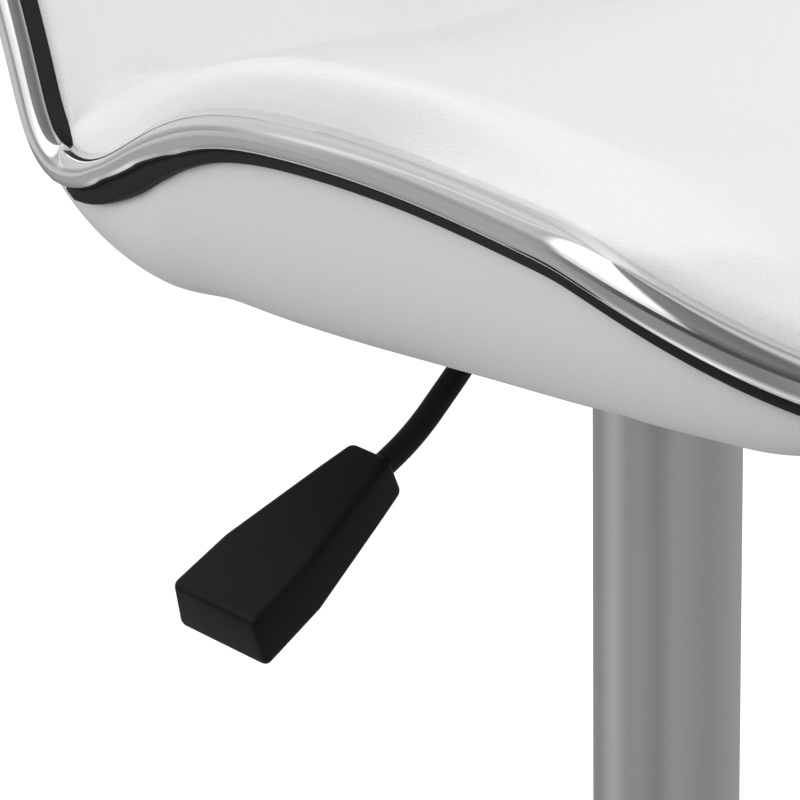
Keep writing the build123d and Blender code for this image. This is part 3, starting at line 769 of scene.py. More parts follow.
@dataclass
class UpholsteredSeat:
    """The seat's soft pieces: the cushion and the lower shell."""

    wave: SeatWave
    rim: Rim
    rings: int = 30
    spine_share: float = 0.97
    edge_in: float = 0.5
    edge_up: float = 4.6
    bulge_width: float = 54.0
    pad_depth: float = 24.0
    side_fullness: float = 10.0
    back_start: float = 0.57
    back_full: float = 0.62
    strip_height: float = 9.2
    crease_along: float = 0.585
    crease_width: float = 0.05
    crease_depth: float = 7.0
    shell_floor: float = 77.5
    shell_down: float = 7.0
    wall_width: float = 27.0
    back_depth: float = 21.0
    pucker_spacing: float = 17.0
    relax_steps: int = 60
    floor_line: tuple = (
        (-210.0, -3.6), (-184.0, -2.7), (-155.0, -1.5), (-129.0, -0.8), (-81.0, -1.2),
        (-30.0, -2.0), (15.0, -2.3), (34.0, 0.6), (50.0, 4.8), (70.0, 4.6)
    )
    front_wall: float = 16.0
    shell_spine: int = 0
    board_inset: float = 0.1
    board_half: float = 3.0
    cloth_steps: int = 20
    cloth_limit: float = 5.0

    def inward(self, share: float) -> tuple[np.ndarray, np.ndarray]:
        """Station and along shares of the rim's ring drawn in towards the seat's spine."""
        spine = np.clip(self.rim.along, 0.2, 0.82)
        return self.rim.station * (1.0 - share), self.rim.along + (spine - self.rim.along) * share

    def shares(self) -> np.ndarray:
        """How far in each ring lies, closer together near the rim."""
        return self.spine_share * np.linspace(0.0, 1.0, self.rings) ** 1.5

    def walked(self) -> np.ndarray:
        """The distance along the rim to each of its points."""
        steps = np.linalg.norm(np.roll(self.rim.point, -1, axis=0) - self.rim.point, axis=1)
        return np.concatenate([[0.0], np.cumsum(steps)[:-1]])

    def puckers(self, seed: int) -> np.ndarray:
        """Small gathers of the cover beside the trim, from 0 to 1, uneven along the rim."""
        walked = self.walked()
        total = walked[-1] + self.rim.spacing
        rng = np.random.default_rng(seed)
        wave = np.zeros(len(walked))
        for harmonic in range(3):
            count = int(total / self.pucker_spacing * (1.0 + 0.37 * harmonic))
            wave += np.cos(2 * math.pi * (count * walked / total + rng.random())) / (1 + harmonic)
        swell = np.cos(2 * math.pi * (9 * walked / total + rng.random()))
        return np.clip(0.5 + 0.35 * wave * (0.6 + 0.4 * swell), 0.0, 1.0)

    def pad_height(self, station: np.ndarray, along: np.ndarray) -> np.ndarray:
        """The cushion's full height above the board, with a soft crease where the back meets the seat."""
        crease = np.exp(-(((along - self.crease_along) / self.crease_width) ** 2))
        front_only = 1.0 - smoothstep(along, 0.5, 0.75)
        side = self.side_fullness * station**2 * smoothstep(along, 0.02, 0.3) * front_only
        return self.edge_up + self.pad_depth + side - self.crease_depth * crease * (1.0 - 0.5 * station**2)

    def foot_level(self) -> np.ndarray:
        """The height of the cushion's edge: low on the seat's trim, above the gasket on the back."""
        back = smoothstep(self.rim.along, self.back_start, self.back_full)
        return self.edge_up + (self.strip_height - self.edge_up) * back

    def cushion_rings(self) -> list[np.ndarray]:
        """Rings of the cushion: its covered edge, its crown in to the spine, and its flat underside."""
        rim = self.rim
        gather = self.puckers(3)
        level_up = self.foot_level()
        foot = rim.offset(-self.edge_in - 0.3 * (level_up - self.edge_up), level_up)
        rings = [rim.offset(-self.edge_in - 9.0, 5.0), rim.offset(-self.edge_in - 2.0, 5.2)]
        slack = []
        for share in self.shares():
            station, along = self.inward(share)
            board = self.wave.at(station, along)
            inboard = np.linalg.norm(board - rim.point, axis=1)
            normal = self.wave.side_normal(station, along)
            near = smoothstep(inboard, 0.0, 36.0)[:, None]
            normal = rim.normal * (1.0 - near) + normal * near
            over = np.clip(inboard / self.bulge_width, 0.0, 1.0)
            full = self.pad_height(station, along) - level_up
            rise = full * (1.0 - (1.0 - over) ** 2.4) ** 0.62
            dent = 0.9 * (1.0 - gather) * np.exp(-inboard / 7.0)
            start = board + (foot - rim.point) * np.exp(-inboard / 6.0)[:, None]
            level = level_up * (1.0 - np.exp(-inboard / 6.0))
            rings.append(start + normal * (rise + level - dent)[:, None])
            crease = np.exp(-(((along - self.crease_along) / 0.11) ** 2))
            front = 0.7 * (1.0 - smoothstep(along, 0.06, 0.24))
            slack.append(np.maximum(crease, front) * smoothstep(inboard, 3.0, 16.0))
        rings[2:] = list(self.relaxed(np.array(rings[2:]), np.array(slack)))
        for share in self.shares()[::-1][:-6]:
            station, along = self.inward(share)
            rings.append(self.wave.at(station, along) + self.wave.side_normal(station, along) * 5.2)
        return rings

    def relaxed(self, grid: np.ndarray, slack: np.ndarray) -> np.ndarray:
        """Even out rings of points where the cover is slack.

        Args:
            grid: The points of each ring.
            slack: How far each may move towards its neighbours' middle, from 0 to 1.

        Returns:
            The evened points.
        """
        share = 0.8 * slack[1:-1, :, None]
        for _ in range(self.relax_steps):
            middle = (np.roll(grid, 1, axis=1) + np.roll(grid, -1, axis=1))[1:-1] + grid[2:] + grid[:-2]
            grid[1:-1] += share * (middle / 4.0 - grid[1:-1])
        return grid

    def shell_rings(self) -> list[np.ndarray]:
        """Rings of the lower shell: its rounded wall, its level underside and outer back, and its top."""
        rim = self.rim
        floor = self.wave.seat_z + self.shell_floor
        gather = self.puckers(11)
        back = smoothstep(rim.along, 0.56, 0.7)
        down = np.array([0.0, 0.0, -1.0])
        heading = down * (1.0 - back)[:, None] - rim.normal * back[:, None]
        heading /= np.linalg.norm(heading, axis=1, keepdims=True)
        floor = floor + np.interp(rim.point[:, 1], *np.array(self.floor_line).T)
        drop = rim.point[:, 2] - floor
        depth = drop * (1.0 - back) + self.back_depth * back
        front = 1.0 - smoothstep(rim.along, 0.0, 0.08)
        depth = np.maximum(depth, 10.0 + 4.0 * front)
        depth = ring_smooth(depth[:, None], 5.0)[:, 0]
        start = rim.offset(-1.5, -self.shell_down - 2.0 * np.exp(-(((rim.along - 0.5) / 0.045) ** 2)))
        inward = -rim.outward - heading * np.sum(-rim.outward * heading, axis=1, keepdims=True)
        inward /= np.linalg.norm(inward, axis=1, keepdims=True)
        rings = [rim.offset(-12.0, -5.2), rim.offset(-4.0, -5.4)]
        front_share = smoothstep(1.0 - np.abs(rim.station), 0.02, 0.14) * (rim.along < 0.3)
        wall = (self.wall_width + (self.front_wall - self.wall_width) * front_share)[:, None]
        slant = 0.45 * smoothstep(rim.along, 0.5, 0.6)[:, None]
        for turn in np.linspace(0.0, 1.0, 16):
            angle = turn * math.pi / 2
            out = wall * ((1.0 - math.cos(angle)) * (1.0 - slant) + turn * slant)
            fall = math.sin(angle) * (1.0 - slant) + turn**1.3 * slant
            step = start + inward * out + heading * (depth - self.shell_down)[:, None] * fall
            dent = 0.8 * (1.0 - gather) * math.exp(-turn * 5.0)
            rings.append(step + rim.outward * -dent[:, None])
        last = rings[-1]
        for share in np.linspace(0.2, self.spine_share, self.rings - 10)[1:]:
            station, along = self.inward(share)
            board = self.wave.at(station, along)
            normal = self.wave.side_normal(station, along)
            level = board.copy()
            lift = np.interp(board[:, 1], *np.array(self.floor_line).T)
            level[:, 2] = self.wave.seat_z + self.shell_floor + lift
            rear = board - normal * (self.back_depth + 4.5)
            turned = smoothstep(along, 0.5, 0.68)[:, None]
            target = level * (1.0 - turned) + rear * turned
            near = smoothstep(np.full(len(board), share), 0.2, 0.42)[:, None]
            rings.append((last * (1.0 - near) + target * near) if share < 0.42 else target)
        self.shell_spine = len(rings) - 1
        for share in self.shares()[::-1][:-8]:
            station, along = self.inward(share)
            rings.append(self.wave.at(station, along) - self.wave.side_normal(station, along) * 5.4)
        return rings

    def board_rings(self) -> list[np.ndarray]:
        """Rings of the bent board between the cushion and the shell: its upper face, then its lower one."""
        shares = self.board_inset + (1.0 - self.board_inset) * self.shares()
        rings = []
        for side, order in ((1.0, shares), (-1.0, shares[::-1])):
            for share in order:
                station, along = self.inward(share)
                normal = self.wave.side_normal(station, along)
                rings.append(self.wave.at(station, along) + normal * (side * self.board_half))
        return rings

    def closed(self, name: str, rings: list[np.ndarray], spine: int) -> bpy.types.Object:
        """Join rings, the last back to the first, into a closed mesh sewn together along its spine.

        Args:
            name: The piece's name.
            rings: Its rings, all with as many points as the rim.
            spine: The number of the ring that lies folded on the spine.

        Returns:
            The piece.
        """
        count = len(self.rim.point)
        faces = grid_faces(spine + 1, count)
        lower_faces = grid_faces(len(rings) - spine - 1, count)
        faces += [tuple(corner + (spine + 1) * count for corner in face) for face in lower_faces]
        for start in (spine * count, (spine + 1) * count):
            faces += [
                (start + near, start + near + 1, start + count - near - 1, start + count - near)
                for near in range(1, count // 2 - 1)
            ]
            faces += [(start, start + 1, start + count - 1)]
            faces += [(start + count // 2 - 1, start + count // 2, start + count // 2 + 1)]
        last = (len(rings) - 1) * count
        faces += [(last + a, last + (a + 1) % count, (a + 1) % count, a) for a in range(count)]
        piece = mesh_object(name, np.concatenate(rings), faces)
        face_outward(piece)
        return piece

    def fill_with_foam(self, piece: bpy.types.Object, free: np.ndarray) -> None:
        """Swell the cover under pressure as cloth, held at its edge, with its movement capped.

        Args:
            piece: The cushion.
            free: For each point, how free it is to move, from 0 to 1.
        """
        rest = np.empty(len(piece.data.vertices) * 3)
        piece.data.vertices.foreach_get("co", rest)
        rest = rest.reshape(-1, 3)
        held = piece.vertex_groups.new(name="held")
        for index, share in enumerate(free):
            held.add([index], 1.0 - float(share), "REPLACE")
        cloth = piece.modifiers.new("foam_pressure", "CLOTH")
        cloth.settings.quality = 5
        cloth.settings.mass = 0.35
        cloth.settings.use_pressure = True
        cloth.settings.uniform_pressure_force = 4.0
        cloth.settings.tension_stiffness = 25.0
        cloth.settings.bending_stiffness = 2.0
        cloth.settings.vertex_group_mass = "held"
        cloth.settings.pin_stiffness = 4.0
        cloth.settings.effector_weights.gravity = 0.0
        cloth.collision_settings.use_collision = False
        cloth.point_cache.frame_start = 1
        cloth.point_cache.frame_end = self.cloth_steps
        scene = bpy.context.scene
        for step in range(1, self.cloth_steps + 1):
            scene.frame_set(step)
        shown = bpy.context.evaluated_depsgraph_get()
        swollen = bpy.data.meshes.new_from_object(piece.evaluated_get(shown))
        moved = np.empty(len(swollen.vertices) * 3)
        swollen.vertices.foreach_get("co", moved)
        move = moved.reshape(-1, 3) - rest
        size = np.linalg.norm(move, axis=1, keepdims=True)
        limit = self.cloth_limit * MM
        move *= np.tanh(size / limit) * limit / np.maximum(size, 1e-9)
        piece.modifiers.clear()
        piece.vertex_groups.clear()
        bpy.data.meshes.remove(swollen)
        scene.frame_set(1)
        piece.data.vertices.foreach_set("co", (rest + move * free[:, None]).ravel())
        piece.data.update()
        LOG.info("%s swelled by at most %.1f mm", piece.name, float(size.max()) / MM)

    def subdivide_once(self, piece: bpy.types.Object) -> None:
        """Smooth a piece with one subdivision."""
        smooth = piece.modifiers.new("smooth", "SUBSURF")
        smooth.levels = 1
        smooth.render_levels = 1
        apply_modifiers(piece)

    def build(self) -> None:
        """Make and dress the cushion, the lower shell and the board between them."""
        cushion = self.closed("cushion_cover", self.cushion_rings(), self.rings + 1)
        points = np.array([point.co for point in cushion.data.vertices]) / MM
        nearest = self.clearance(points)
        self.fill_with_foam(cushion, smoothstep(nearest, 9.0, 34.0))
        self.subdivide_once(cushion)
        dress(cushion, Body.SEAT, Slot.SEAT_LEATHER, "seat_cushion")
        shell = self.closed("shell_cover", self.shell_rings(), self.shell_spine)
        self.subdivide_once(shell)
        # The shell's finish is the white leather painted darker as shade for its underside.
        dress(shell, Body.SEAT, Slot.SHELL_LEATHER, "lower_shell")
        board = self.closed("bent_board", self.board_rings(), self.rings - 1)
        dress(board, Body.SEAT, Slot.PLYWOOD, "plywood_board")

    def clearance(self, points: np.ndarray) -> np.ndarray:
        """Each point's distance from the rim."""
        nearest = np.full(len(points), 1e9)
        for spot in self.rim.point[::3]:
            nearest = np.minimum(nearest, np.linalg.norm(points - spot, axis=1))
        return nearest


# Geometry Nodes -----------------------------------------------------------------------------------
class NodeRecipe:
    """A Geometry Nodes tree being written, with named inputs."""

    def __init__(self, name: str, inputs: dict[str, float]) -> None:
        """Start a tree.

        Args:
            name: The tree's name.
            inputs: Its number inputs and their defaults.
        """
        self.tree = bpy.data.node_groups.new(name, "GeometryNodeTree")
        self.tree.interface.new_socket("Geometry", in_out="INPUT", socket_type="NodeSocketGeometry")
        for key, value in inputs.items():
            socket = self.tree.interface.new_socket(key, in_out="INPUT", socket_type="NodeSocketFloat")
            socket.default_value = value
        self.tree.interface.new_socket("Material", in_out="INPUT", socket_type="NodeSocketMaterial")
        self.tree.interface.new_socket("Geometry", in_out="OUTPUT", socket_type="NodeSocketGeometry")
        self.start = self.tree.nodes.new("NodeGroupInput")
        self.end = self.tree.nodes.new("NodeGroupOutput")

    def node(
        self, kind: str, links: dict[int | str, object] | None = None, **values: object
    ) -> bpy.types.Node:
        """Add a node; links gives, for an input's name or number, a socket to join or a value to set."""
        made = self.tree.nodes.new(kind)
        for key, value in values.items():
            setattr(made, key, value)
        for key, source in (links or {}).items():
            if isinstance(source, bpy.types.NodeSocket):
                self.tree.links.new(source, made.inputs[key])
            else:
                made.inputs[key].default_value = source
        return made

    def maths(self, operation: str, first: object, second: object = 0.0) -> bpy.types.NodeSocket:
        """The result of a Math node."""
        return self.node("ShaderNodeMath", {0: first, 1: second}, operation=operation).outputs[0]

    def given(self, name: str) -> bpy.types.NodeSocket:
        """A named input of the tree."""
        return self.start.outputs[name]

    def close(self, geometry: bpy.types.NodeSocket) -> bpy.types.NodeTree:
        """End the tree: real instances, smooth shading and a material."""
        real = self.node("GeometryNodeRealizeInstances", {"Geometry": geometry})
        smooth = self.node("GeometryNodeSetShadeSmooth", {"Geometry": real.outputs[0]})
        coated = {"Geometry": smooth.outputs[0], "Material": self.given("Material")}
        coat = self.node("GeometryNodeSetMaterial", coated)
        self.tree.links.new(coat.outputs[0], self.end.inputs[0])
        return self.tree


def grow(
    piece: bpy.types.Object, tree: bpy.types.NodeTree, material: bpy.types.Material, **sizes: float
) -> None:
    """Run a Geometry Nodes tree on a piece and keep the result as its mesh.

    Args:
        piece: The object whose mesh is the tree's input.
        tree: The tree.
        material: What the tree's Material input is set to.
        sizes: The tree's number inputs in metres or counts, with underscores for spaces.
    """
    modifier = piece.modifiers.new(tree.name, "NODES")
    modifier.node_group = tree
    wanted = {key.replace("_", " "): value for key, value in sizes.items()}
    for socket in tree.interface.items_tree:
        if socket.in_out == "INPUT" and socket.name in wanted:
            modifier[socket.identifier] = wanted[socket.name]
        if socket.in_out == "INPUT" and socket.name == "Material":
            modifier[socket.identifier] = material
    apply_modifiers(piece)


def strip_tree() -> bpy.types.NodeTree:
    """A strip along a closed loop: a rounded section set out along the loop's own directions."""
    sizes = {"Width": 0.01, "Depth": 0.01, "Squareness": 1.0}
    recipe = NodeRecipe("rim_strip", sizes)
    ring = recipe.node("GeometryNodeCurvePrimitiveCircle", {"Resolution": 28, "Radius": 1.0}, mode="RADIUS")
    centre = recipe.node("GeometryNodeInputNamedAttribute", {"Name": "centre"}, data_type="FLOAT_VECTOR")
    narrow = recipe.node("GeometryNodeInputNamedAttribute", {"Name": "narrowing"}, data_type="FLOAT")
    place = recipe.node("GeometryNodeInputPosition")
    split = recipe.node("ShaderNodeSeparateXYZ", {0: place.outputs[0]})
    sides = []
    for axis, width in (("X", "Width"), ("Y", "Depth")):
        size = recipe.maths("POWER", recipe.maths("ABSOLUTE", split.outputs[axis]), recipe.given("Squareness"))
        signed = recipe.maths("MULTIPLY", size, recipe.maths("SIGN", split.outputs[axis]))
        half = recipe.maths("MULTIPLY", recipe.given(width), 0.5)
        sides.append(recipe.maths("MULTIPLY", signed, half))
    joined = recipe.node("ShaderNodeCombineXYZ", {"X": sides[0], "Y": sides[1]})
    section = recipe.node(
        "GeometryNodeSetPosition", {"Geometry": ring.outputs[0], "Position": joined.outputs[0]}
    )
    path = recipe.node("GeometryNodeMeshToCurve", {"Mesh": recipe.given("Geometry")})
    rise = recipe.node(
        "GeometryNodeInputNamedAttribute", {"Name": "rise_direction"}, data_type="FLOAT_VECTOR"
    )
    turned = recipe.node(
        "GeometryNodeSetCurveNormal", {"Curve": path.outputs[0], "Normal": rise.outputs[0]}, mode="FREE"
    )
    sweep = recipe.node(
        "GeometryNodeCurveToMesh",
        {"Curve": turned.outputs[0], "Profile Curve": section.outputs[0]},
    )
    out = recipe.node(
        "ShaderNodeVectorMath", {0: place.outputs[0], 1: centre.outputs[0]}, operation="SUBTRACT"
    )
    height = recipe.node(
        "ShaderNodeVectorMath", {0: out.outputs[0], 1: rise.outputs[0]}, operation="DOT_PRODUCT"
    )
    cut = recipe.maths("MULTIPLY", height.outputs["Value"], narrow.outputs[0])
    back = recipe.node("ShaderNodeVectorMath", {0: rise.outputs[0], "Scale": cut}, operation="SCALE")
    narrowed = recipe.node(
        "GeometryNodeSetPosition", {"Geometry": sweep.outputs[0], "Offset": back.outputs[0]}
    )
    return recipe.close(narrowed.outputs[0])


def path_mesh(
    name: str, points: np.ndarray, rise: np.ndarray, closed: bool, widening: np.ndarray | float = 0.0
) -> bpy.types.Object:
    """A line of edges that carries what a strip's tree reads.

    Args:
        name: The object's name.
        points: The line's points in millimetres.
        rise: The unit direction of the strip's width at each point.
        closed: Whether the line is a loop.
        widening: How much wider the strip is at each point, as a share, below 0 where it is narrower.

    Returns:
        The object.
    """
    count = len(points)
    mesh = bpy.data.meshes.new(name)
    edges = [(index, (index + 1) % count) for index in range(count if closed else count - 1)]
    mesh.from_pydata((points * MM).tolist(), edges, [])
    mesh.attributes.new("rise_direction", "FLOAT_VECTOR", "POINT").data.foreach_set("vector", rise.ravel())
    mesh.attributes.new("centre", "FLOAT_VECTOR", "POINT").data.foreach_set("vector", (points * MM).ravel())
    wide = np.zeros(count) + widening
    mesh.attributes.new("narrowing", "FLOAT", "POINT").data.foreach_set("value", wide)
    piece = bpy.data.objects.new(name, mesh)
    bpy.context.scene.collection.objects.link(piece)
    return piece


@dataclass
class RimStrips:
    """The bright trim and the two black gaskets that run round the seat's rim."""

    rim: Rim
    trim_width: float = 12.6
    trim_depth: float = 13.0
    trim_out: float = 0.0
    trim_rise: float = 0.5
    gasket_width: float = 4.2
    gasket_depth: float = 7.0
    gasket_rise: float = 7.6
    lower_gasket_rise: float = -7.2
    gasket_out: float = -1.6
    tuck: float = 6.5
    tuck_down: float = 3.5
    gasket_widening: float = 2.2
    waist_line: tuple = (
        (0.0, 0.06), (0.15, 0.02), (0.3, 0.0), (0.42, -0.06), (0.47, -0.3),
        (0.52, -0.34), (0.545, -0.18), (0.58, 0.0), (1.0, 0.05)
    )
    tree: bpy.types.NodeTree = field(init=False)

    def __post_init__(self) -> None:
        """Write the strips' tree once."""
        self.tree = strip_tree()

    def waist(self) -> np.ndarray:
        """How much of the trim's width is lost beside the valley, as a share at each point of the rim."""
        at, share = np.array(self.waist_line).T
        return np.interp(self.rim.along, at, share)

    def strip(
        self, name: str, slot: Slot, node: str, shift: tuple, widening: np.ndarray, **sizes: float
    ) -> None:
        """Make one strip and dress it.

        Args:
            name: The piece's name.
            slot: Its finish.
            node: The node it stands for.
            shift: How far its path is moved outward and up from the rim, in millimetres.
            widening: How much wider it is at each point, as a share.
            sizes: The tree's sizes in millimetres.
        """
        piece = path_mesh(name, self.rim.offset(*shift), self.rim.normal, True, widening)
        squareness = sizes.pop("Squareness")
        metres = {key: value * MM for key, value in sizes.items()}
        grow(piece, self.tree, finish(slot), Squareness=squareness, **metres)
        face_outward(piece)
        dress(piece, Body.SEAT, slot, node)

    def build(self) -> None:
        """Make the trim and the gaskets."""
        waist = self.waist()
        raised = -waist * self.trim_width
        seat = 1.0 - smoothstep(self.rim.along, 0.56, 0.615)
        back = smoothstep(self.rim.along, 0.56, 0.6)
        self.strip(
            "bright_trim",
            Slot.CHROME,
            "edge_trim",
            (self.trim_out, self.trim_rise + raised / 2),
            waist,
            Width=self.trim_width,
            Depth=self.trim_depth,
            Squareness=0.9,
        )
        above = (self.gasket_out - self.tuck * seat, self.gasket_rise - self.tuck_down * seat)
        wide = -self.gasket_widening * np.minimum(waist, 0.0)
        sunk = self.lower_gasket_rise + raised - wide * self.gasket_width / 2
        below = (self.gasket_out - self.tuck * back, sunk + self.tuck_down * back)
        for name, node, shift, widening in (
            ("gasket_above", "upper_gasket", above, 0.0 * waist),
            ("gasket_below", "lower_gasket", below, wide - 0.8 * back),
        ):
            self.strip(
                name,
                Slot.BLACK_PIPING,
                node,
                shift,
                widening,
                Width=self.gasket_width,
                Depth=self.gasket_depth,
                Squareness=0.6,
            )


@dataclass
class PlateBolts:
    """The four hexagon bolts that hold the seat to its plate."""

    node: str = "plate_bolts"
    head_radius: float = 5.0
    head_height: float = 4.0
    shank_radius: float = 3.0
    crown: float = 0.6

    def tree(self) -> bpy.types.NodeTree:
        """A bolt on each point, head down: a hexagon with a round crown below it, and a plain shank."""
        sizes = {
            "Head Radius": 0.005, "Head Height": 0.004, "Shank Radius": 0.003, "Shank Length": 0.03, "Crown": 0.001
        }
        recipe = NodeRecipe("bolt_set", sizes)
        join = recipe.node("GeometryNodeJoinGeometry")
        crown_radius = recipe.maths("MULTIPLY", recipe.given("Head Radius"), 0.84)
        for sides, radius, depth, low in (
            (6, recipe.given("Head Radius"), recipe.given("Head Height"), recipe.given("Crown")),
            (32, crown_radius, recipe.given("Crown"), 0.0),
            (24, recipe.given("Shank Radius"), recipe.given("Shank Length"), recipe.given("Head Height")),
        ):
            solid = recipe.node(
                "GeometryNodeMeshCylinder", {"Vertices": sides, "Radius": radius, "Depth": depth}
            )
            middle = recipe.maths("ADD", recipe.maths("MULTIPLY", depth, 0.5), low)
            lift = recipe.node("ShaderNodeCombineXYZ", {"Z": middle})
            moved = recipe.node(
                "GeometryNodeTransform", {"Geometry": solid.outputs[0], "Translation": lift.outputs[0]}
            )
            recipe.tree.links.new(moved.outputs[0], join.inputs[0])
        spread = recipe.node(
            "GeometryNodeInstanceOnPoints", {"Points": recipe.given("Geometry"), "Instance": join.outputs[0]}
        )
        return recipe.close(spread.outputs[0])

    def build(self) -> None:
        """Place the bolts by the frame's own bolts and dress them."""
        low, high = (np.array(corner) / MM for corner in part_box(self.node))
        reach = (high - low)[:2] / 2 - self.head_radius
        middle = (low + high)[:2] / 2
        spots = [
            (middle[0] + x * reach[0], middle[1] + y * reach[1], low[2])
            for x in (-1, 1)
            for y in (-1, 1)
        ]
        piece = mesh_object("hexagon_bolts", np.array(spots), [])
        head = self.head_height * MM
        grow(
            piece,
            self.tree(),
            finish(Slot.ZINC_STEEL),
            Head_Radius=self.head_radius * MM,
            Head_Height=head - self.crown * MM,
            Shank_Radius=self.shank_radius * MM,
            Shank_Length=(high - low)[2] * MM - head,
            Crown=self.crown * MM,
        )
        face_outward(piece)
        shade_by_angle(piece, 30.0)
        dress(piece, Body.SEAT, Slot.ZINC_STEEL, self.node)


@dataclass
class ReleaseLever:
    """The release lever: a cranked rod bent in one sweep, and the moulded handle on its end."""

    seat_z: float
    heading: Vector
    strips: bpy.types.NodeTree
    rod_width: float = 8.0
    rod_path: tuple = (
        (-1.0, 59.5),
        (60.0, 59.5),
        (82.0, 59.6),
        (93.5, 57.0),
        (103.2, 49.8),
        (111.2, 43.6),
        (119.3, 37.6),
        (129.5, 31.6),
        (138.5, 27.6),
        (152.0, 21.6),
        (160.0, 17.8),
    )
    root_out: float = 138.5
    root_up: float = 28.3
    yaw: float = -3.0
    drop: float = 27.0
    twist: float = 9.0
    outline: tuple = ((1.5, 9.2), (14.0, 11.4), (51.0, 18.0), (77.0, 18.6))
    neck_t: float = 15.0
    end_t: float = 18.0
    edge: float = 2.6
    draft: float = 2.2
    aside: float = 1.3

    def rod(self) -> None:
        """The cranked rod, swept along its path."""
        corners = np.array([(out, up) for out, up in self.rod_path])
        path = spline_through(corners, 90)
        heading = np.array(self.heading)
        points = path[:, :1] * heading + np.array([0.0, 0.0, 1.0]) * (path[:, 1:] + self.seat_z)
        side = np.tile([-heading[1], heading[0], 0.0], (len(points), 1))
        piece = path_mesh("crank_rod", points, side, False)
        width = self.rod_width * MM
        grow(piece, self.strips, finish(Slot.BLACK_STEEL), Width=width, Depth=width, Squareness=1.0)
        close_ends(piece)
        face_outward(piece)
        dress(piece, Body.LEVER, Slot.BLACK_STEEL, "lever_rod")

    def axes(self) -> tuple[Vector, Vector, Vector, Vector]:
        """The handle's root, its axis outward and down, its side and its upward direction."""
        slope = math.radians(self.drop)
        level = Matrix.Rotation(math.radians(self.yaw), 3, "Z") @ self.heading
        axis = level * math.cos(slope) - Vector((0, 0, math.sin(slope)))
        side = Vector((-level.y, level.x, 0.0))
        up = axis.cross(side)
        turn = math.radians(self.twist)
        root = self.heading * self.root_out + Vector((0, 0, self.seat_z + self.root_up)) - side * self.aside
        turned_side = side * math.cos(turn) - up * math.sin(turn)
        return root, axis, turned_side, side * math.sin(turn) + up * math.cos(turn)

    def thickness(self, along: float) -> float:
        """The handle's thickness at a distance along it."""
        start, end = self.outline[0][0], self.outline[-1][0]
        share = min(1.0, max(0.0, (along - start) / (end - start)))
        return self.neck_t + (self.end_t - self.neck_t) * share**0.6

    def handle(self) -> None:
        """The moulded handle: a flared paddle, thicker and wider towards its end."""
        root, axis, side, up = self.axes()
        ring = list(self.outline) + [(along, -out) for along, out in reversed(self.outline)]
        end = self.outline[-1][0]
        work = bmesh.new()
        levels = []
        for face, draw in ((1.0, self.draft), (-1.0, 0.0)):
            level = []
            for along, out in ring:
                reach = along - (draw if along == end else 0.0)
                lift = up * (face * self.thickness(along) / 2)
                place = root + axis * reach + side * (out - math.copysign(draw * 0.5, out)) + lift
                level.append(work.verts.new(place * MM))
            levels.append(level)
        work.faces.new(levels[0])
        work.faces.new(levels[1][::-1])
        for index in range(len(ring)):
            after = (index + 1) % len(ring)
            work.faces.new((levels[0][index], levels[1][index], levels[1][after], levels[0][after]))
        bmesh.ops.recalc_face_normals(work, faces=work.faces)
        mesh = bpy.data.meshes.new("paddle")
        work.to_mesh(mesh)
        work.free()
        piece = bpy.data.objects.new("paddle", mesh)
        bpy.context.scene.collection.objects.link(piece)
        bevel = piece.modifiers.new("edges", "BEVEL")
        bevel.width = self.edge * MM
        bevel.segments = 6
        bevel.limit_method = "ANGLE"
        bevel.angle_limit = math.radians(35.0)
        apply_modifiers(piece)
        shade_by_angle(piece, 32.0)
        dress(piece, Body.LEVER, Slot.BLACK_PLASTIC, "lever_handle")

    def build(self) -> None:
        """Make and dress the rod and the handle."""
        self.rod()
        self.handle()


# Bench: CAD nodes, stage, lights, camera ---------------------------------------------------------------
def dress_carried_nodes() -> None:
    """Give every node of the frame the finish of its slot."""
    for part in frame["record"]["subparts"]:
        node = frame["nodes"][part["node"]]
        material = finish(Slot(part["material_slot"]))
        for spot in node.material_slots:
            spot.material = material
        if not node.material_slots:
            node.data.materials.append(material)
        LOG.info("%s carries %s", part["node"], part["material_slot"])


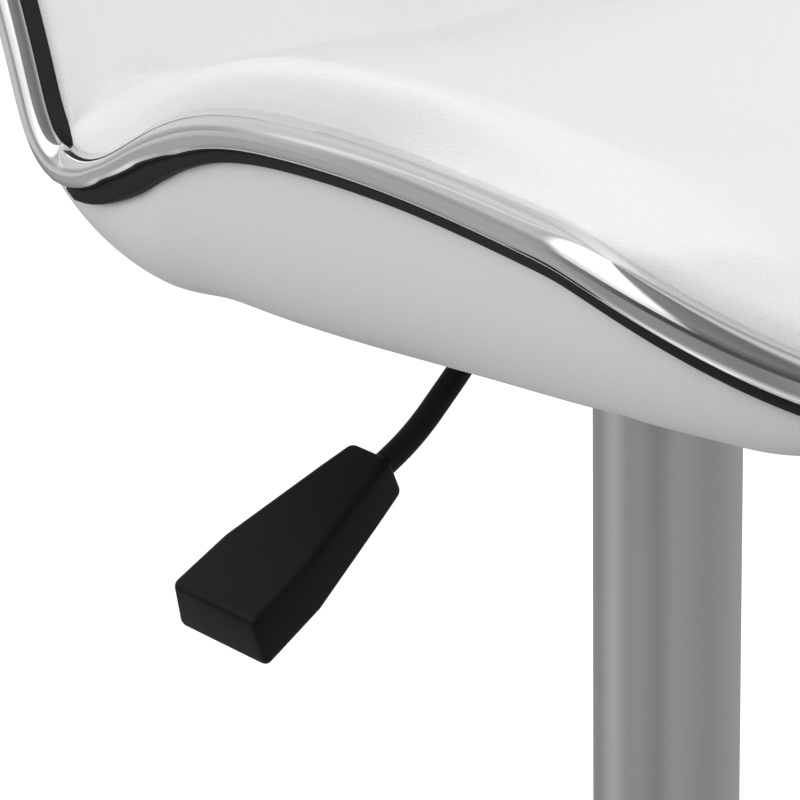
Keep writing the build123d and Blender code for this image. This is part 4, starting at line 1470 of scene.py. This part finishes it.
@dataclass
class Studio:
    """A pale floor, soft lights and the camera."""

    focal: float = 167.85
    sensor: float = 36.0
    azimuth: float = -42.0
    elevation: float = 17.0
    roll: float = -1.0
    place: tuple[float, float, float] = (-0.85736, -0.81936, 0.85896)
    floor_radius: float = 6.0
    floor_reach: float = 3.0
    floor_change: tuple = (1.75, 1.9)
    height_greys: tuple = ((0.0, 0.36), (0.45, 0.42), (0.53, 0.5), (0.62, 0.75), (0.8, 0.7), (1.0, 0.8))
    dome_greys: tuple = ((0.0, 0.5), (0.45, 0.82), (0.52, 0.95), (0.65, 0.98), (1.0, 0.94))
    reach_greys: tuple = ((0.0, 0.9), (0.08, 0.8), (0.2, 0.3), (1.0, 0.29))
    near_bands: tuple = ((0.0, 1.0), (0.08, 0.82), (0.16, 1.05),
        (0.3, 0.9), (0.5, 1.1), (0.75, 0.9), (0.87, 1.4), (0.95, 1.0), (1.0, 1.0))
    far_bands: tuple = ((0.0, 0.07), (0.14, 0.09), (0.2, 0.4),
        (0.5, 0.3), (0.8, 0.6), (0.858, 0.62), (0.88, 0.42), (0.93, 0.22), (1.0, 0.1))
    band_greys: tuple = (
        (0.0, 2.1),
        (0.035, 1.9),
        (0.06, 0.35),
        (0.2, 0.25),
        (0.3, 0.9),
        (0.45, 0.5),
        (0.55, 1.2),
        (0.7, 0.8),
        (0.8, 1.0),
        (0.857, 0.9),
        (0.866, 1.25),
        (0.876, 0.85),
        (0.9, 0.75),
        (0.925, 1.9),
        (1.0, 2.1),
    )

    def floor(self) -> None:
        """A round pale floor."""
        work = bmesh.new()
        bmesh.ops.create_circle(work, cap_ends=True, segments=96, radius=self.floor_radius)
        mesh = bpy.data.meshes.new("floor")
        work.to_mesh(mesh)
        work.free()
        piece = bpy.data.objects.new("floor", mesh)
        bpy.context.scene.collection.objects.link(piece)
        bench = MaterialBench("pale_floor")
        bench.shader.inputs["Base Color"].default_value = (0.86, 0.86, 0.86, 1.0)
        bench.shader.inputs["Roughness"].default_value = 0.75
        bench.shader.inputs["Emission Color"].default_value = (1.0, 1.0, 1.0, 1.0)
        bench.shader.inputs["Emission Strength"].default_value = 0.3
        mirrored = add_node(bench.tree, "ShaderNodeEmission", Strength=1.0)
        greys = self.floor_greys(bench.tree, bench.coords)
        bench.tree.links.new(greys, mirrored.inputs["Color"])
        path = add_node(bench.tree, "ShaderNodeLightPath")
        mix = add_node(bench.tree, "ShaderNodeMixShader")
        bench.tree.links.new(path.outputs["Is Camera Ray"], mix.inputs[0])
        bench.tree.links.new(mirrored.outputs[0], mix.inputs[1])
        bench.tree.links.new(bench.shader.outputs[0], mix.inputs[2])
        bench.tree.links.new(mix.outputs[0], bench.tree.nodes["Material Output"].inputs["Surface"])
        piece.data.materials.append(bench.material)

    def turn_share(self, tree: bpy.types.NodeTree, vector: bpy.types.NodeSocket) -> bpy.types.NodeSocket:
        """The share of a full turn at which a direction points, seen from above."""
        split = tree.nodes.new("ShaderNodeSeparateXYZ")
        tree.links.new(vector, split.inputs[0])
        angle = add_node(tree, "ShaderNodeMath", operation="ARCTAN2")
        tree.links.new(split.outputs["Y"], angle.inputs[0])
        tree.links.new(split.outputs["X"], angle.inputs[1])
        share = tree.nodes.new("ShaderNodeMapRange")
        share.inputs["From Min"].default_value = -math.pi
        share.inputs["From Max"].default_value = math.pi
        tree.links.new(angle.outputs[0], share.inputs["Value"])
        return share.outputs[0]

    def mixed(
        self,
        tree: bpy.types.NodeTree,
        kind: str,
        share: object,
        first: bpy.types.NodeSocket,
        second: bpy.types.NodeSocket,
    ) -> bpy.types.NodeSocket:
        """Two colours mixed, or multiplied, by a share."""
        mix = add_node(tree, "ShaderNodeMix", data_type="RGBA", blend_type=kind)
        if isinstance(share, bpy.types.NodeSocket):
            tree.links.new(share, mix.inputs[0])
        else:
            mix.inputs[0].default_value = share
        tree.links.new(first, mix.inputs[6])
        tree.links.new(second, mix.inputs[7])
        return mix.outputs[2]

    def floor_greys(self, tree: bpy.types.NodeTree, vector: bpy.types.NodeSocket) -> bpy.types.NodeSocket:
        """Greys of the floor as bright metal mirrors it: white below, grey around, banded far away."""
        length = add_node(tree, "ShaderNodeVectorMath", operation="LENGTH")
        tree.links.new(vector, length.inputs[0])
        shares = []
        for near, far in ((0.0, self.floor_reach), self.floor_change):
            share = tree.nodes.new("ShaderNodeMapRange")
            share.inputs["From Min"].default_value = near
            share.inputs["From Max"].default_value = far
            tree.links.new(length.outputs["Value"], share.inputs["Value"])
            shares.append(share.outputs[0])
        turn = self.turn_share(tree, vector)
        around = self.grey_ramp(tree, shares[0], self.reach_greys)
        near = self.mixed(tree, "MULTIPLY", 1.0, around, self.grey_ramp(tree, turn, self.near_bands))
        return self.mixed(tree, "MIX", shares[1], near, self.grey_ramp(tree, turn, self.far_bands))

    def studio_greys(self, tree: bpy.types.NodeTree, vector: bpy.types.NodeSocket) -> bpy.types.NodeSocket:
        """Greys of the room in a direction: paler towards the ceiling, in soft upright bands."""
        split = tree.nodes.new("ShaderNodeSeparateXYZ")
        tree.links.new(vector, split.inputs[0])
        lift = tree.nodes.new("ShaderNodeMapRange")
        lift.inputs["From Min"].default_value = -1.0
        tree.links.new(split.outputs["Z"], lift.inputs["Value"])
        height = self.grey_ramp(tree, lift.outputs[0], self.height_greys)
        bands = self.grey_ramp(tree, self.turn_share(tree, vector), self.band_greys)
        return self.mixed(tree, "MULTIPLY", 1.0, height, bands)

    def grey_ramp(
        self, tree: bpy.types.NodeTree, value: bpy.types.NodeSocket, stops: Sequence
    ) -> bpy.types.NodeSocket:
        """A colour ramp of greys over a value."""
        ramp = tree.nodes.new("ShaderNodeValToRGB")
        ramp.color_ramp.interpolation = "EASE"
        while len(ramp.color_ramp.elements) < len(stops):
            ramp.color_ramp.elements.new(0.5)
        for element, (at, grey) in zip(ramp.color_ramp.elements, stops):
            element.position = at
            element.color = (grey, grey, grey, 1.0)
        tree.links.new(value, ramp.inputs[0])
        return ramp.outputs[0]

    def world(self) -> None:
        """A white backdrop to the camera, and a grey studio with soft bands to everything else."""
        world = bpy.data.worlds.new("studio")
        bpy.context.scene.world = world
        world.use_nodes = True
        tree = world.node_tree
        output = tree.nodes["World Output"]
        soft = tree.nodes["Background"]
        bright = tree.nodes.new("ShaderNodeBackground")
        bright.inputs["Color"].default_value = (1.0, 1.0, 1.0, 1.0)
        bright.inputs["Strength"].default_value = 1.0
        path = tree.nodes.new("ShaderNodeLightPath")
        mix = tree.nodes.new("ShaderNodeMixShader")
        coords = tree.nodes.new("ShaderNodeTexCoord")
        greys = self.studio_greys(tree, coords.outputs["Generated"])
        tree.links.new(greys, soft.inputs["Color"])
        split = tree.nodes.new("ShaderNodeSeparateXYZ")
        tree.links.new(coords.outputs["Generated"], split.inputs[0])
        lift = tree.nodes.new("ShaderNodeMapRange")
        lift.inputs["From Min"].default_value = -1.0
        tree.links.new(split.outputs["Z"], lift.inputs["Value"])
        dome = tree.nodes.new("ShaderNodeBackground")
        tree.links.new(self.grey_ramp(tree, lift.outputs[0], self.dome_greys), dome.inputs["Color"])
        fill = tree.nodes.new("ShaderNodeMixShader")
        tree.links.new(path.outputs["Is Diffuse Ray"], fill.inputs[0])
        tree.links.new(soft.outputs[0], fill.inputs[1])
        tree.links.new(dome.outputs[0], fill.inputs[2])
        soft.inputs["Strength"].default_value = 1.0
        tree.links.new(path.outputs["Is Camera Ray"], mix.inputs[0])
        tree.links.new(fill.outputs[0], mix.inputs[1])
        tree.links.new(bright.outputs[0], mix.inputs[2])
        tree.links.new(mix.outputs[0], output.inputs[0])

    def softbox(
        self, name: str, place: Sequence[float], aim: Sequence[float], size: Sequence[float], power: float
    ) -> None:
        """A rectangular area light.

        Args:
            name: Its name.
            place: Where it stands, in metres.
            aim: The point it faces.
            size: Its width and height.
            power: Its power in watts.
        """
        light = bpy.data.lights.new(name, "AREA")
        light.shape = "RECTANGLE"
        light.size, light.size_y = size
        light.energy = power
        piece = bpy.data.objects.new(name, light)
        piece.location = place
        piece.visible_glossy = False
        piece.rotation_mode = "QUATERNION"
        piece.rotation_quaternion = (Vector(aim) - Vector(place)).to_track_quat("-Z", "Y")
        bpy.context.scene.collection.objects.link(piece)

    def lights(self) -> None:
        """An overhead softbox, a tall one to the left and a weaker one behind."""
        seat = (0.0, 0.0, 0.6)
        self.softbox("overhead", (0.2, -0.3, 2.4), seat, (1.2, 1.2), 2.0)
        self.softbox("front_left", (-2.2, 0.2, 1.2), seat, (0.5, 1.8), 9.0)
        self.softbox("front_right", (0.9, -2.2, 1.1), seat, (0.6, 1.8), 4.0)
        self.softbox("rear", (0.4, 2.4, 1.6), seat, (1.6, 1.2), 4.0)

    def camera(self) -> None:
        """The camera, with the slight roll it was held at."""
        lens = bpy.data.cameras.new("camera")
        lens.lens = self.focal
        lens.sensor_width = self.sensor
        lens.clip_start = 0.05
        lens.clip_end = 50.0
        piece = bpy.data.objects.new("camera", lens)
        turn, rise = math.radians(self.azimuth), math.radians(self.elevation)
        back = Vector((math.sin(turn) * math.cos(rise), -math.cos(turn) * math.cos(rise), math.sin(rise)))
        aim = (-back).to_track_quat("-Z", "Y").to_matrix().to_4x4()
        spin = Matrix.Rotation(math.radians(self.roll), 4, "Z")
        piece.matrix_world = Matrix.Translation(self.place) @ aim @ spin
        bpy.context.scene.collection.objects.link(piece)
        bpy.context.scene.camera = piece

    def build(self) -> None:
        """Set up the floor, the world, the lights and the camera."""
        bpy.context.scene.view_settings.view_transform = "Standard"
        self.floor()
        self.world()
        self.lights()
        self.camera()
        LOG.info("studio ready")


def lever_heading() -> Vector:
    """The level direction in which the lever leaves the column."""
    joint = next(row for row in frame["record"]["behaviour"]["joints"] if row["name"] == "lever_pull")
    return Vector((joint["pos_m"][0], joint["pos_m"][1], 0.0)).normalized()


def main() -> None:
    """Build the stool's looks piece by piece."""
    logging.basicConfig(level=logging.INFO, format="%(name)s: %(message)s")
    plate_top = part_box("mount_plate")[1].z / MM
    seat_z = plate_top - 74.0
    Studio().build()
    dress_carried_nodes()
    wave = SeatWave(seat_z)
    rim = Rim(wave)
    UpholsteredSeat(wave, rim).build()
    strips = RimStrips(rim)
    strips.build()
    ReleaseLever(seat_z, lever_heading(), strips.tree).build()
    PlateBolts().build()


if __name__ == "__main__":
    main()
